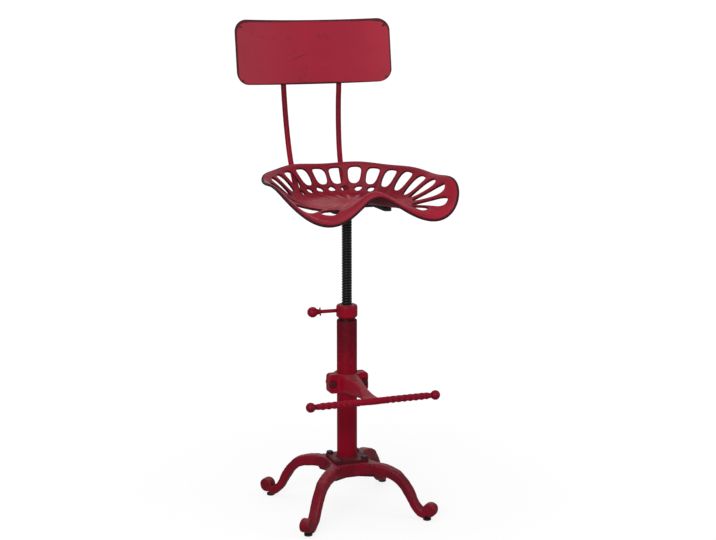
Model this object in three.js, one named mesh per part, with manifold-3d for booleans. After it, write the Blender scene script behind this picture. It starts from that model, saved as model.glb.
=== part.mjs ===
// A cast-iron tractor seat stool: a pierced pan on a threaded column, with four scroll-footed
// legs, a clamp-on footrest and a curved back panel on two rods.
// Millimetres, +Z up. The sitter faces -Y, and +X is at the right of someone who looks along +Y.
// The origin is on the floor, under the middle of the stool's bounding box.
// Inside the nested group, the screw's axis is x = 0, y = 0.
import * as THREE from 'three';
import { mergeVertices } from 'three/addons/utils/BufferGeometryUtils.js';
import Module from 'manifold-3d';

const wasm = await Module();
wasm.setup();

// Clearances and counts shared by all pieces
const FIT = 0.3;              // gap between pieces that touch, press or weld together
const OVERRUN = 4;            // how far a cutter runs past the face that it cuts
const ROUND_SIDES = 22;       // facets round a tube
const SMALL_SIDES = 12;       // facets round a bolt, hole, rod or ball
const QUARTER_STEPS = 3;      // facets on a quarter round

// Base: feet, legs, plates
const PAD_DIAMETER = 17.5;
const PAD_HEIGHT = 5;
const PAD_STEM_DIAMETER = 6;
const PAD_STEM_LENGTH = 8;
const PAD_RADIUS_FROM_AXIS = 189.4;
const BASE_PLATE_SIDE = 98;
const BASE_PLATE_WAIST = 66;
const BASE_PLATE_THICKNESS = 5;
const BASE_PLATE_UNDERSIDE = 79.5;
const BASE_PLATE_CORNER = 6;
const BASE_PLATE_OPENING = 30;
const HUB_HALF_SIDE = 44;
const HUB_DEPTH = 25.9;
const HUB_CORE_DIAMETER = 42;
const LEG_WIDTH = 25;
const LEG_DEPTH = 25;
const LEG_FILLET = 14;
const SCROLL_DIAMETER = 30;
const SCROLL_WIDTH = 22;
const SCROLL_CENTRE_OUT = 7.8;
const SCROLL_CENTRE_HEIGHT = 24;
const SCROLL_EDGE = 4;
const SCROLL_EDGE_STEPS = 2;
const SCROLL_SIDES = 18;
const FLANGE_SIDE = 75;
const FLANGE_THICKNESS = 6;
const FLANGE_CORNER = 5;
const WELD_SIZE = 3.5;
const LEG_BOLT_OFFSET = 29.5;

// Fasteners
const BOLT_DIAMETER = 8;
const BOLT_HEAD_ACROSS = 13;
const BOLT_HEAD_HEIGHT = 5.3;
const NUT_HEIGHT = 6.5;
const BOLT_END = 3;

// Column and lifting screw
const COLUMN_DIAMETER = 43.6;
const COLUMN_WALL = 3.5;
const COLUMN_TOP = 418.5;
const COLUMN_CHAMFER = 1.2;
const BUSH_NECK = 5.6;
const BUSH_DEPTH = 42;
const SCREW_DIAMETER = 22;
const SCREW_CHAMFER = 1.5;
const RAISE = 40;             // how far the seat can still be screwed up
const STOP_GAP = 1;
const STOP_WASHER_DIAMETER = 33;
const STOP_WASHER_THICKNESS = 3.5;
const STOP_BOLT_REACH = 20;

// Lock ring and its handle
const RING_DIAMETER = 45.6;
const RING_HEIGHT = 30.2;
const RING_TOP_ROUND = 5;
const RING_LOW_CHAMFER = 4.4;
const HANDLE_BEARING = 165;   // degrees from +X, seen from above
const HANDLE_HEIGHT_IN_RING = 14;
const HANDLE_ROD_DIAMETER = 8;
const HANDLE_ROOT_RADIUS = 14.3;
const HANDLE_FLANGE_RADIUS = 56;
const HANDLE_FLANGE_DIAMETER = 18.5;
const HANDLE_FLANGE_THICKNESS = 2.4;
const HANDLE_NECK_DIAMETER = 11.5;
const HANDLE_BALL_RADIUS = 73.5;
const HANDLE_BALL_DIAMETER = 23;

// Footrest
const CLAMP_UNDERSIDE = 263.5;
const CLAMP_HEIGHT = 42;
const CLAMP_WALL = 6.5;
const CLAMP_SPLIT = 2;
const EAR_REACH = 44.5;
const EAR_THICKNESS = 9;
const EAR_CORNER = 9;
const EAR_BOLT_OFFSET = 36.5;
const BAR_FORWARD = 164.6;
const BAR_HEIGHT = 284.7;
const BAR_MIDDLE_DIAMETER = 14;
const BAR_MIDDLE_LENGTH = 46;
const BAR_SQUARE = 12.2;
const BAR_TWIST_PITCH = 51;
const BAR_SECTION_STEPS = 42;
const BAR_SECTION_SIDES = 8;
const BAR_END_DIAMETER = 11;
const BALL_OFFSET = 137;
const BALL_DIAMETER = 20.5;
const BALL_ROWS = 8;
const BALL_SPIGOT_DIAMETER = 8;
const BALL_SPIGOT_LENGTH = 7;
const ARM_END_ABOVE_BAR = 2.8;
const ARM_END_DEPTH = 11;
const ARM_ROOT_WIDTH = 46;
const ARM_WAIST_WIDTH = 22;
const ARM_END_WIDTH = 46;

// Bracket under the seat
const BRACKET_UNDERSIDE = 668.2;
const BRACKET_THICKNESS = 6.5;
const BRACKET_BAR_OFFSET = 55;
const BRACKET_BAR_WIDTH = 17;
const BRACKET_BAR_FRONT = 104;
const BRACKET_BAR_BACK = 62;
const BRACKET_PLATE_HALF_LENGTH = 38;
const BRACKET_END_HOLE = 8;
const SEAT_SCREW_OFFSET = 25;
const SEAT_SCREW_HEAD_DIAMETER = 15;
const SEAT_SCREW_HEAD_DEPTH = 3.6;
const SEAT_SCREW_END = 3;

// Seat pan
const SEAT_CENTRE_FORWARD = 26.1;
const SEAT_THICKNESS = 5.5;
const SEAT_MEAN_RADIUS = 195.9;
const SEAT_RISE = 55;
const SEAT_POMMEL_RISE = 24.9;
const SEAT_SIDES = 60;
const POMMEL_SPREAD = 32;         // degrees
const LOBE_START_BEARING = 89.7;  // degrees from the back
const LOBE_FULL_BEARING = 117.8;
const SLOT_INNER_BEARINGS = [30, 143];
const SLOT_OUTER_BEARINGS = [131, 143];
const SLOT_BEARINGS = [7.1, 22.8, 38.5, 54.2, 69.9, 85.6, 101.3, 117, 132.7, 146.4];
const SLOT_PITCH = 15.7;
const SLOT_WIDTH = 39.7;          // widest, where the ribs leave more room
const RIB_WIDTH = 12.6;
const OVALS_A_SIDE = 3;
const OVAL_PITCH = 13.7;
const OVAL_LENGTH = 10.5;
const OVAL_WIDTH = 15.5;

// Back rods and panel
const ROD_DIAMETER = 12;
const ROD_STEPS = 22;
const ROD_SPREAD_HIGH = 64.6;
const PANEL_WIDTH = 357;
const PANEL_HEIGHT = 141;
const PANEL_UNDERSIDE = 908.2;
const PANEL_BACK = 222;
const PANEL_LEAN = 8.95;      // degrees
const PANEL_BOW = 29;
const PANEL_THICKNESS = 2.4;
const PANEL_CORNER = 28;
const PANEL_CORNER_STEPS = 4;
const PANEL_EDGE_STEPS = 7;
const PANEL_LIP = 5;
const PANEL_LIP_WIDTH = 2.2;
const ROD_TOP_BELOW_PANEL_TOP = 24;

// Shape tables, as shares of the sizes that they follow
const legPathShares = [
  // distance from the axis, height, depth and width of the leg
  [0.20, 1.000, 0.97, 1.00],
  [0.42, 1.000, 0.97, 1.00],
  [0.55, 0.957, 0.94, 1.00],
  [0.634, 0.885, 0.88, 0.98],
  [0.702, 0.772, 0.80, 0.96],
  [0.755, 0.643, 0.74, 0.94],
  [0.797, 0.508, 0.70, 0.92],
  [0.835, 0.369, 0.68, 0.92],
  [0.876, 0.243, 0.69, 0.92],
  [0.930, 0.155, 0.72, 0.92],
  [1.000, 0.120, 0.72, 0.92],
];
const legCornerShare = 0.2;
const rimRadiusShares = [1, -0.089, -0.026, 0.083, -0.065, 0.042, -0.019];
const rimRiseShares = [0.741, 0.534, -0.216, 0.021, 0.120, -0.203, 0.166, -0.089];
const panRingShares = [0.32, 0.48, 0.60, 0.71, 0.82, 0.92];
const rimRoundShares = [[0.992, 0.12], [1.000, 0.5], [0.992, 0.88]];
const slopeStepShare = 0.002;
const wallStartShare = 0.524;
const rollStartShare = 0.3;
const rollSkewShare = 2.34;
const bumpStartShare = 0.25;
const bumpSkewShare = 2.2;
const slotOuterShares = [0.898, 0.815];
const slotInnerShares = [0.713, 0.575];
const slotOutlineShares = [
  // how far along the slot from its outer end, and how wide
  [0.00, 0.00], [0.03, 0.57], [0.10, 0.79], [0.27, 0.96],
  [0.73, 0.98], [0.90, 0.83], [0.97, 0.60], [1.00, 0.00],
];
const ovalPlaceShare = 0.655;
const barCornerShare = 0.24;
const armStationShares = [
  // how far along the arm; how wide, from waist to root and to end; how far the top and the underside
  // have gone from the clamp's to the end's
  [0.00, 1.00, 0.00, 0.00, 0.00],
  [0.22, 0.55, 0.00, 0.08, 0.20],
  [0.42, 0.10, 0.00, 0.28, 0.52],
  [0.58, 0.00, 0.05, 0.55, 0.76],
  [0.74, 0.00, 0.28, 0.84, 0.92],
  [0.88, 0.00, 0.70, 1.00, 1.00],
  [1.00, 0.00, 1.00, 1.00, 1.00],
];
const armRoundShare = 0.72;
const panelRingShares = [0.35, 0.72];
const rodPathShares = [
  // backward reach and height of the rod, from the bracket to the panel's lower edge
  [0.000, 0.000], [0.370, 0.000], [0.623, 0.062], [0.765, 0.192], [0.841, 0.300],
  [0.894, 0.412], [0.930, 0.523], [0.965, 0.668], [0.989, 0.834], [1.000, 1.000],
];

// Places that follow from the sizes
const degrees = THREE.MathUtils.degToRad;
const V = (x, y, z) => new THREE.Vector3(x, y, z);
const HUB_UNDERSIDE = BASE_PLATE_UNDERSIDE + BASE_PLATE_THICKNESS + FIT;
const HUB_MIDDLE = HUB_UNDERSIDE + HUB_DEPTH / 2;
const FLANGE_UNDERSIDE = HUB_UNDERSIDE + HUB_DEPTH + FIT;
const FLANGE_TOP = FLANGE_UNDERSIDE + FLANGE_THICKNESS;
const COLUMN_BORE = COLUMN_DIAMETER - COLUMN_WALL * 2;
const BUSH_DIAMETER = COLUMN_BORE - FIT * 2;
const BUSH_BORE = SCREW_DIAMETER + FIT * 2;
const BUSH_TOP = COLUMN_TOP + BUSH_NECK;
const BUSH_UNDERSIDE = COLUMN_TOP - BUSH_DEPTH;
const RING_UNDERSIDE = BUSH_TOP + FIT;
const SCREW_TOP = BRACKET_UNDERSIDE - FIT;
const SCREW_END = BUSH_UNDERSIDE - RAISE - STOP_GAP;
const BRACKET_TOP = BRACKET_UNDERSIDE + BRACKET_THICKNESS;
const SEAT_FLOOR = BRACKET_TOP + FIT + SEAT_THICKNESS;
const HOLE_DIAMETER = BOLT_DIAMETER + FIT * 2;
const CLAMP_MIDDLE = CLAMP_UNDERSIDE + CLAMP_HEIGHT / 2;
const CLAMP_BORE_RADIUS = COLUMN_DIAMETER / 2 + FIT;
const CLAMP_RADIUS = CLAMP_BORE_RADIUS + CLAMP_WALL;

// Materials, one for each finish
const RED_PAINT = { color: 0x8c1628, roughness: 0.42, metalness: 0.25 };
const BLACK_STEEL = { color: 0x17171a, roughness: 0.48, metalness: 0.7 };
const BLACK_RUBBER = { color: 0x121212, roughness: 0.85, metalness: 0 };

// Closed meshes and solids
function mergedSolid(geometry) {
  const bare = geometry.index ? geometry.clone() : geometry;
  bare.deleteAttribute('normal');
  bare.deleteAttribute('uv');
  const merged = mergeVertices(bare, 1e-4);
  return new wasm.Manifold(new wasm.Mesh({
    numProp: 3,
    vertProperties: new Float32Array(merged.attributes.position.array),
    triVerts: new Uint32Array(merged.index.array),
  }));
}

function geometryOf(solid) {
  const mesh = solid.getMesh();
  const geometry = new THREE.BufferGeometry();
  const places = new Float32Array(mesh.vertProperties);
  geometry.setAttribute('position', new THREE.BufferAttribute(places, mesh.numProp));
  geometry.setIndex(new THREE.BufferAttribute(new Uint32Array(mesh.triVerts), 1));
  geometry.computeVertexNormals();
  return geometry;
}

function join(...geometries) {
  return geometryOf(geometries.map(mergedSolid).reduce((a, b) => a.add(b)));
}

function cut(geometry, ...cutters) {
  return geometryOf(cutters.map(mergedSolid).reduce((a, b) => a.subtract(b), mergedSolid(geometry)));
}

function signedVolume(points, faces) {
  let sum = 0;
  for (const [a, b, c] of faces) sum += points[a].dot(points[b].clone().cross(points[c]));
  return sum;
}

// A closed skin over a row of rings with the same number of points, and a middle point at each end
function skinRings(first, rings, last) {
  const sides = rings[0].length;
  const points = [first, ...rings.flat(), last];
  const faces = [];
  const at = (ring, side) => 1 + ring * sides + (side % sides);
  for (let side = 0; side < sides; side++) {
    faces.push([0, at(0, side), at(0, side + 1)]);
    for (let ring = 0; ring < rings.length - 1; ring++) {
      faces.push([at(ring, side), at(ring + 1, side), at(ring + 1, side + 1)]);
      faces.push([at(ring, side), at(ring + 1, side + 1), at(ring, side + 1)]);
    }
    faces.push([at(rings.length - 1, side + 1), at(rings.length - 1, side), points.length - 1]);
  }
  if (signedVolume(points, faces) < 0) faces.forEach((face) => face.reverse());
  const geometry = new THREE.BufferGeometry().setFromPoints(points);
  geometry.setIndex(faces.flat());
  geometry.computeVertexNormals();
  return geometry;
}

function middleOf(ring) {
  return ring.reduce((sum, point) => sum.add(point), V(0, 0, 0)).divideScalar(ring.length);
}

function skinSections(rings) {
  return skinRings(middleOf(rings[0]), rings, middleOf(rings[rings.length - 1]));
}

// Turned piece about Z: a profile of [radius, height] that starts and ends on the axis
function turned(profile, sides = ROUND_SIDES) {
  const points = profile.map(([radius, height]) => new THREE.Vector2(radius, height));
  return new THREE.LatheGeometry(points, sides).rotateX(Math.PI / 2);
}

function rod(radius, low, high, sides = SMALL_SIDES) {
  return turned([[0, low], [radius, low], [radius, high], [0, high]], sides);
}

function tubeRing(inner, outer, low, high, sides = ROUND_SIDES) {
  return turned([[inner, low], [outer, low], [outer, high], [inner, high], [inner, low]], sides);
}

function block(x0, x1, y0, y1, z0, z1) {
  const box = new THREE.BoxGeometry(x1 - x0, y1 - y0, z1 - z0);
  return box.translate((x0 + x1) / 2, (y0 + y1) / 2, (z0 + z1) / 2);
}

function upward(shape, depth, bottom) {
  return new THREE.ExtrudeGeometry(shape, { depth, bevelEnabled: false, curveSegments: QUARTER_STEPS })
    .translate(0, 0, bottom);
}

function roundedRectangle(halfWidth, halfHeight, corner) {
  const shape = new THREE.Shape();
  shape.absarc(halfWidth - corner, halfHeight - corner, corner, 0, Math.PI / 2);
  shape.absarc(corner - halfWidth, halfHeight - corner, corner, Math.PI / 2, Math.PI);
  shape.absarc(corner - halfWidth, corner - halfHeight, corner, Math.PI, Math.PI * 1.5);
  shape.absarc(halfWidth - corner, corner - halfHeight, corner, Math.PI * 1.5, Math.PI * 2);
  shape.closePath();
  return shape;
}

function plate(side, corner, thickness, bottom) {
  return upward(roundedRectangle(side / 2, side / 2, corner), thickness, bottom);
}

// A square drawn in along its sides, with its corners cut
function fourCornered(half, waist, corner) {
  const shape = new THREE.Shape();
  shape.moveTo(half, half - corner);
  const turns = [[1, 0], [0, 1], [-1, 0], [0, -1]];
  for (const [c, s] of turns) {
    const at = (x, y) => [x * c - y * s, x * s + y * c];
    shape.lineTo(...at(half, half - corner));
    shape.lineTo(...at(half - corner, half));
    shape.quadraticCurveTo(...at(0, waist * 2 - half), ...at(corner - half, half));
  }
  shape.closePath();
  return shape;
}

// Four places round the axis, named as seen by the sitter's guest
const QUARTERS = [
  { name: 'back_right', turn: 0, x: 1, y: 1 },
  { name: 'back_left', turn: 90, x: -1, y: 1 },
  { name: 'front_left', turn: 180, x: -1, y: -1 },
  { name: 'front_right', turn: 270, x: 1, y: -1 },
];

function drillQuarters(geometry, offset, low, high) {
  const holes = QUARTERS.map(({ x, y }) =>
    rod(HOLE_DIAMETER / 2, low - OVERRUN, high + OVERRUN).translate(x * offset, y * offset, 0));
  return cut(geometry, ...holes);
}

// Base pieces
function columnFlange() {
  const weld = turned([
    [0, FLANGE_TOP - WELD_SIZE], [COLUMN_DIAMETER / 2 + WELD_SIZE, FLANGE_TOP - WELD_SIZE],
    [COLUMN_DIAMETER / 2 + WELD_SIZE, FLANGE_TOP], [COLUMN_DIAMETER / 2 + FIT, FLANGE_TOP + WELD_SIZE],
    [0, FLANGE_TOP + WELD_SIZE],
  ]);
  const blank = join(plate(FLANGE_SIDE, FLANGE_CORNER, FLANGE_THICKNESS, FLANGE_UNDERSIDE), weld);
  const seat = rod(COLUMN_DIAMETER / 2 + FIT, FLANGE_UNDERSIDE - OVERRUN, FLANGE_TOP + WELD_SIZE + OVERRUN,
    ROUND_SIDES);
  return drillQuarters(cut(blank, seat), LEG_BOLT_OFFSET, FLANGE_UNDERSIDE, FLANGE_TOP);
}

function basePlate() {
  const top = BASE_PLATE_UNDERSIDE + BASE_PLATE_THICKNESS;
  const blank = upward(fourCornered(BASE_PLATE_SIDE / 2, BASE_PLATE_WAIST / 2, BASE_PLATE_CORNER),
    BASE_PLATE_THICKNESS, BASE_PLATE_UNDERSIDE);
  const opening = rod(BASE_PLATE_OPENING / 2, BASE_PLATE_UNDERSIDE - OVERRUN, top + OVERRUN, ROUND_SIDES);
  return drillQuarters(cut(blank, opening), LEG_BOLT_OFFSET, BASE_PLATE_UNDERSIDE, top);
}

// The quarter of the hub that one leg carries, for the leg between +X and +Y
function hubQuarter() {
  const mitre = FIT / 2;
  const side = HUB_HALF_SIDE - LEG_WIDTH / Math.SQRT2;
  const run = LEG_FILLET / Math.SQRT2;
  const shape = new THREE.Shape();
  shape.moveTo(mitre, mitre);
  shape.lineTo(HUB_HALF_SIDE, mitre);
  shape.lineTo(HUB_HALF_SIDE, side - LEG_FILLET);
  shape.quadraticCurveTo(HUB_HALF_SIDE, side, HUB_HALF_SIDE + run, side + run);
  shape.lineTo(side + run, HUB_HALF_SIDE + run);
  shape.quadraticCurveTo(side, HUB_HALF_SIDE, side - LEG_FILLET, HUB_HALF_SIDE);
  shape.lineTo(mitre, HUB_HALF_SIDE);
  shape.closePath();
  return upward(shape, HUB_DEPTH, HUB_UNDERSIDE);
}

// One section of a leg: a rectangle with cut corners, across the path at a point of the diagonal plane
function legSection(centre, along, depth, width) {
  const out = V(Math.SQRT1_2, Math.SQRT1_2, 0);
  const across = V(-Math.SQRT1_2, Math.SQRT1_2, 0);
  const up = across.clone().cross(along).normalize();
  const corner = legCornerShare * depth;
  const [w, h] = [width / 2, depth / 2];
  const outline = [
    [w, h - corner], [w - corner, h], [corner - w, h], [-w, h - corner],
    [-w, corner - h], [corner - w, -h], [w - corner, -h], [w, corner - h],
  ];
  const middle = out.multiplyScalar(centre.x).setZ(centre.y);
  return outline.map(([a, b]) => middle.clone().addScaledVector(across, a).addScaledVector(up, b));
}

function legSweep() {
  const places = legPathShares.map(([r, z]) => V(r * PAD_RADIUS_FROM_AXIS, z * HUB_MIDDLE, 0));
  const path = new THREE.CatmullRomCurve3(places, false, 'centripetal');
  const last = legPathShares.length - 1;
  return skinSections(legPathShares.map(([, , depth, width], index) => {
    const slope = path.getTangent(index / last);
    const along = V(slope.x * Math.SQRT1_2, slope.x * Math.SQRT1_2, slope.y);
    return legSection(places[index], along, depth * LEG_DEPTH, width * LEG_WIDTH);
  }));
}

function scrollRoll() {
  const radius = SCROLL_DIAMETER / 2;
  const half = SCROLL_WIDTH / 2;
  const profile = [[0, -half], [radius - SCROLL_EDGE, -half]];
  for (let step = 1; step <= SCROLL_EDGE_STEPS; step++) {
    const turn = (step / SCROLL_EDGE_STEPS) * Math.PI / 2;
    profile.push([radius - SCROLL_EDGE + SCROLL_EDGE * Math.sin(turn),
      SCROLL_EDGE - half - SCROLL_EDGE * Math.cos(turn)]);
  }
  const mirrored = profile.slice().reverse().map(([r, z]) => [r, -z]);
  return turned([...profile, ...mirrored], SCROLL_SIDES)
    .rotateX(Math.PI / 2)
    .rotateZ(Math.PI / 4)
    .translate((PAD_RADIUS_FROM_AXIS + SCROLL_CENTRE_OUT) * Math.SQRT1_2,
      (PAD_RADIUS_FROM_AXIS + SCROLL_CENTRE_OUT) * Math.SQRT1_2, SCROLL_CENTRE_HEIGHT);
}

function leg() {
  const padPlace = PAD_RADIUS_FROM_AXIS * Math.SQRT1_2;
  const reach = PAD_RADIUS_FROM_AXIS * 2;
  const body = join(hubQuarter(), legSweep(), scrollRoll());
  return cut(body,
    block(-reach, reach, -reach, reach, -reach, PAD_HEIGHT + FIT),
    rod(PAD_STEM_DIAMETER / 2 + FIT, -OVERRUN, PAD_HEIGHT + PAD_STEM_LENGTH + FIT)
      .translate(padPlace, padPlace, 0),
    rod(HUB_CORE_DIAMETER / 2, HUB_UNDERSIDE - OVERRUN, HUB_UNDERSIDE + HUB_DEPTH + OVERRUN, ROUND_SIDES),
    rod(HOLE_DIAMETER / 2, HUB_UNDERSIDE - OVERRUN, HUB_UNDERSIDE + HUB_DEPTH + OVERRUN)
      .translate(LEG_BOLT_OFFSET, LEG_BOLT_OFFSET, 0));
}

function footPad() {
  const place = PAD_RADIUS_FROM_AXIS * Math.SQRT1_2;
  const stem = PAD_STEM_DIAMETER / 2;
  return turned([
    [0, 0], [PAD_DIAMETER / 2, 0], [PAD_DIAMETER / 2, PAD_HEIGHT],
    [stem, PAD_HEIGHT], [stem, PAD_HEIGHT + PAD_STEM_LENGTH], [0, PAD_HEIGHT + PAD_STEM_LENGTH],
  ], SMALL_SIDES).translate(place, place, 0);
}

// A hex bolt that hangs from z = 0 with its head above, and the nut that meets it
function hexBolt(length) {
  const head = new THREE.CylinderGeometry(
    BOLT_HEAD_ACROSS / Math.sqrt(3), BOLT_HEAD_ACROSS / Math.sqrt(3), BOLT_HEAD_HEIGHT, 6)
    .rotateX(Math.PI / 2).translate(0, 0, BOLT_HEAD_HEIGHT / 2);
  return join(head, rod(BOLT_DIAMETER / 2, -length, BOLT_HEAD_HEIGHT / 2));
}

function hexNut() {
  const blank = new THREE.CylinderGeometry(
    BOLT_HEAD_ACROSS / Math.sqrt(3), BOLT_HEAD_ACROSS / Math.sqrt(3), NUT_HEIGHT, 6)
    .rotateX(Math.PI / 2).translate(0, 0, NUT_HEIGHT / 2);
  return cut(blank, rod(HOLE_DIAMETER / 2, -OVERRUN, NUT_HEIGHT + OVERRUN));
}

// Column and lifting screw
function columnTube() {
  const [bore, outer] = [COLUMN_BORE / 2, COLUMN_DIAMETER / 2];
  return turned([
    [bore, FLANGE_UNDERSIDE], [outer, FLANGE_UNDERSIDE], [outer, COLUMN_TOP - COLUMN_CHAMFER],
    [outer - COLUMN_CHAMFER, COLUMN_TOP], [bore, COLUMN_TOP], [bore, FLANGE_UNDERSIDE],
  ]);
}

function columnNut() {
  return tubeRing(BUSH_BORE / 2, BUSH_DIAMETER / 2, BUSH_UNDERSIDE, BUSH_TOP);
}

function liftingScrew() {
  const radius = SCREW_DIAMETER / 2;
  const blank = turned([
    [0, SCREW_END], [radius - SCREW_CHAMFER, SCREW_END], [radius, SCREW_END + SCREW_CHAMFER],
    [radius, SCREW_TOP], [0, SCREW_TOP],
  ]);
  return cut(blank, rod(HOLE_DIAMETER / 2, SCREW_END - OVERRUN, SCREW_END + STOP_BOLT_REACH + FIT));
}

function stopWasher() {
  return tubeRing(HOLE_DIAMETER / 2, STOP_WASHER_DIAMETER / 2,
    SCREW_END - FIT - STOP_WASHER_THICKNESS, SCREW_END - FIT);
}

function stopBolt() {
  const grip = STOP_WASHER_THICKNESS + FIT * 2;
  return hexBolt(grip + STOP_BOLT_REACH).rotateX(Math.PI).translate(0, 0, SCREW_END - grip);
}

// Lock ring and handle
function lockRing() {
  const [bore, outer] = [BUSH_BORE / 2, RING_DIAMETER / 2];
  const profile = [
    [bore, RING_UNDERSIDE], [outer - RING_LOW_CHAMFER, RING_UNDERSIDE],
    [outer, RING_UNDERSIDE + RING_LOW_CHAMFER],
  ];
  const top = RING_UNDERSIDE + RING_HEIGHT;
  for (let step = 0; step <= QUARTER_STEPS; step++) {
    const turn = (step / QUARTER_STEPS) * Math.PI / 2;
    profile.push([outer - RING_TOP_ROUND + RING_TOP_ROUND * Math.cos(turn),
      top - RING_TOP_ROUND + RING_TOP_ROUND * Math.sin(turn)]);
  }
  profile.push([bore, top], [bore, RING_UNDERSIDE]);
  const tapping = alongHandle(rod(HANDLE_ROD_DIAMETER / 2 + FIT, HANDLE_ROOT_RADIUS - FIT, COLUMN_DIAMETER));
  return cut(turned(profile), tapping);
}

// Lays a piece that is turned about Z along the handle's bearing, with z = 0 on the screw's axis
function alongHandle(geometry) {
  return geometry.rotateY(Math.PI / 2).rotateZ(degrees(HANDLE_BEARING))
    .translate(0, 0, RING_UNDERSIDE + HANDLE_HEIGHT_IN_RING);
}

function lockHandle() {
  const stem = HANDLE_ROD_DIAMETER / 2;
  const flangeEnd = HANDLE_FLANGE_RADIUS + HANDLE_FLANGE_THICKNESS;
  const ball = HANDLE_BALL_DIAMETER / 2;
  const start = Math.asin(HANDLE_NECK_DIAMETER / HANDLE_BALL_DIAMETER);
  const profile = [
    [0, HANDLE_ROOT_RADIUS], [stem, HANDLE_ROOT_RADIUS], [stem, HANDLE_FLANGE_RADIUS],
    [HANDLE_FLANGE_DIAMETER / 2, HANDLE_FLANGE_RADIUS], [HANDLE_FLANGE_DIAMETER / 2, flangeEnd],
    [HANDLE_NECK_DIAMETER / 2, flangeEnd],
  ];
  const steps = QUARTER_STEPS * 3;
  for (let step = 0; step <= steps; step++) {
    const turn = THREE.MathUtils.lerp(start, Math.PI, step / steps);
    profile.push([step === steps ? 0 : ball * Math.sin(turn), HANDLE_BALL_RADIUS - ball * Math.cos(turn)]);
  }
  return alongHandle(turned(profile, SMALL_SIDES));
}

// Footrest
function clampHalf(front) {
  const [near, far] = [CLAMP_SPLIT / 2, CLAMP_RADIUS + OVERRUN];
  const collar = tubeRing(CLAMP_BORE_RADIUS, CLAMP_RADIUS, CLAMP_UNDERSIDE, CLAMP_UNDERSIDE + CLAMP_HEIGHT);
  const ears = upward(roundedRectangle(EAR_REACH, CLAMP_HEIGHT / 2, EAR_CORNER), EAR_THICKNESS, near)
    .rotateX(Math.PI / 2).translate(0, 0, CLAMP_MIDDLE);
  const bore = rod(CLAMP_BORE_RADIUS, CLAMP_UNDERSIDE - OVERRUN, CLAMP_UNDERSIDE + CLAMP_HEIGHT + OVERRUN,
    ROUND_SIDES);
  const behind = block(-far, far, -near, far, CLAMP_UNDERSIDE - OVERRUN,
    CLAMP_UNDERSIDE + CLAMP_HEIGHT + OVERRUN);
  const holes = [-1, 1].map((side) =>
    rod(HOLE_DIAMETER / 2, -OVERRUN, EAR_THICKNESS + CLAMP_SPLIT + OVERRUN)
      .rotateX(Math.PI / 2).translate(side * EAR_BOLT_OFFSET, 0, CLAMP_MIDDLE));
  const body = front ? join(collar, ears, footrestArm()) : join(collar, ears);
  const saddle = rod(BAR_MIDDLE_DIAMETER / 2 + FIT, -BALL_OFFSET, BALL_OFFSET, ROUND_SIDES)
    .rotateY(Math.PI / 2).translate(0, -BAR_FORWARD, BAR_HEIGHT);
  const half = cut(body, bore, behind, ...holes, ...(front ? [saddle] : []));
  return front ? half : half.rotateZ(Math.PI);
}

function footrestArm() {
  const start = -COLUMN_DIAMETER / 2;
  const top = CLAMP_UNDERSIDE + CLAMP_HEIGHT;
  const endTop = BAR_HEIGHT + ARM_END_ABOVE_BAR;
  const rings = armStationShares.map(([along, root, end, fall, rise]) => {
    const y = THREE.MathUtils.lerp(start, -BAR_FORWARD, along);
    const half = (ARM_WAIST_WIDTH + root * (ARM_ROOT_WIDTH - ARM_WAIST_WIDTH)
      + end * (ARM_END_WIDTH - ARM_WAIST_WIDTH)) / 2;
    const high = THREE.MathUtils.lerp(top, endTop, fall);
    const low = THREE.MathUtils.lerp(CLAMP_UNDERSIDE, endTop - ARM_END_DEPTH, rise);
    return Array.from({ length: SMALL_SIDES }, (_, side) => {
      const angle = ((side + 0.5) / SMALL_SIDES) * Math.PI * 2;
      const bend = (wave) => Math.sign(wave) * Math.pow(Math.abs(wave), armRoundShare);
      return V(half * bend(Math.cos(angle)), y, (high + low) / 2 + (high - low) / 2 * bend(Math.sin(angle)));
    });
  });
  return skinSections(rings);
}

// The bar's section is a rounded square that turns as it goes along, and a round at its middle and ends
function footrestBar() {
  const end = BALL_OFFSET - BALL_DIAMETER / 2 + FIT;
  const sides = BAR_SECTION_SIDES;
  const rings = [];
  for (let step = 0; step <= BAR_SECTION_STEPS; step++) {
    const x = THREE.MathUtils.lerp(-end, end, step / BAR_SECTION_STEPS);
    const inset = Math.abs(x) - BAR_MIDDLE_LENGTH / 2;
    const twisted = THREE.MathUtils.smoothstep(inset, 0, BAR_SQUARE)
      * (1 - THREE.MathUtils.smoothstep(Math.abs(x), end - BAR_SQUARE, end));
    const round = (inset < BAR_SQUARE ? BAR_MIDDLE_DIAMETER : BAR_END_DIAMETER) / 2;
    rings.push(Array.from({ length: sides }, (_, side) => {
      const angle = (side / sides) * Math.PI * 2;
      const turn = (x / BAR_TWIST_PITCH) * Math.PI * 2;
      const square = BAR_SQUARE / 2 * (1 + barCornerShare * Math.pow(Math.sin((angle - turn) * 2), 2));
      const radius = THREE.MathUtils.lerp(round, square, twisted);
      return V(x, -BAR_FORWARD + radius * Math.cos(angle), BAR_HEIGHT + radius * Math.sin(angle));
    }));
  }
  const spigots = [-1, 1].map((side) =>
    rod(BALL_SPIGOT_DIAMETER / 2, end - FIT, end + BALL_SPIGOT_LENGTH)
      .rotateY(side * Math.PI / 2).translate(0, -BAR_FORWARD, BAR_HEIGHT));
  return join(skinSections(rings), ...spigots);
}

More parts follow.
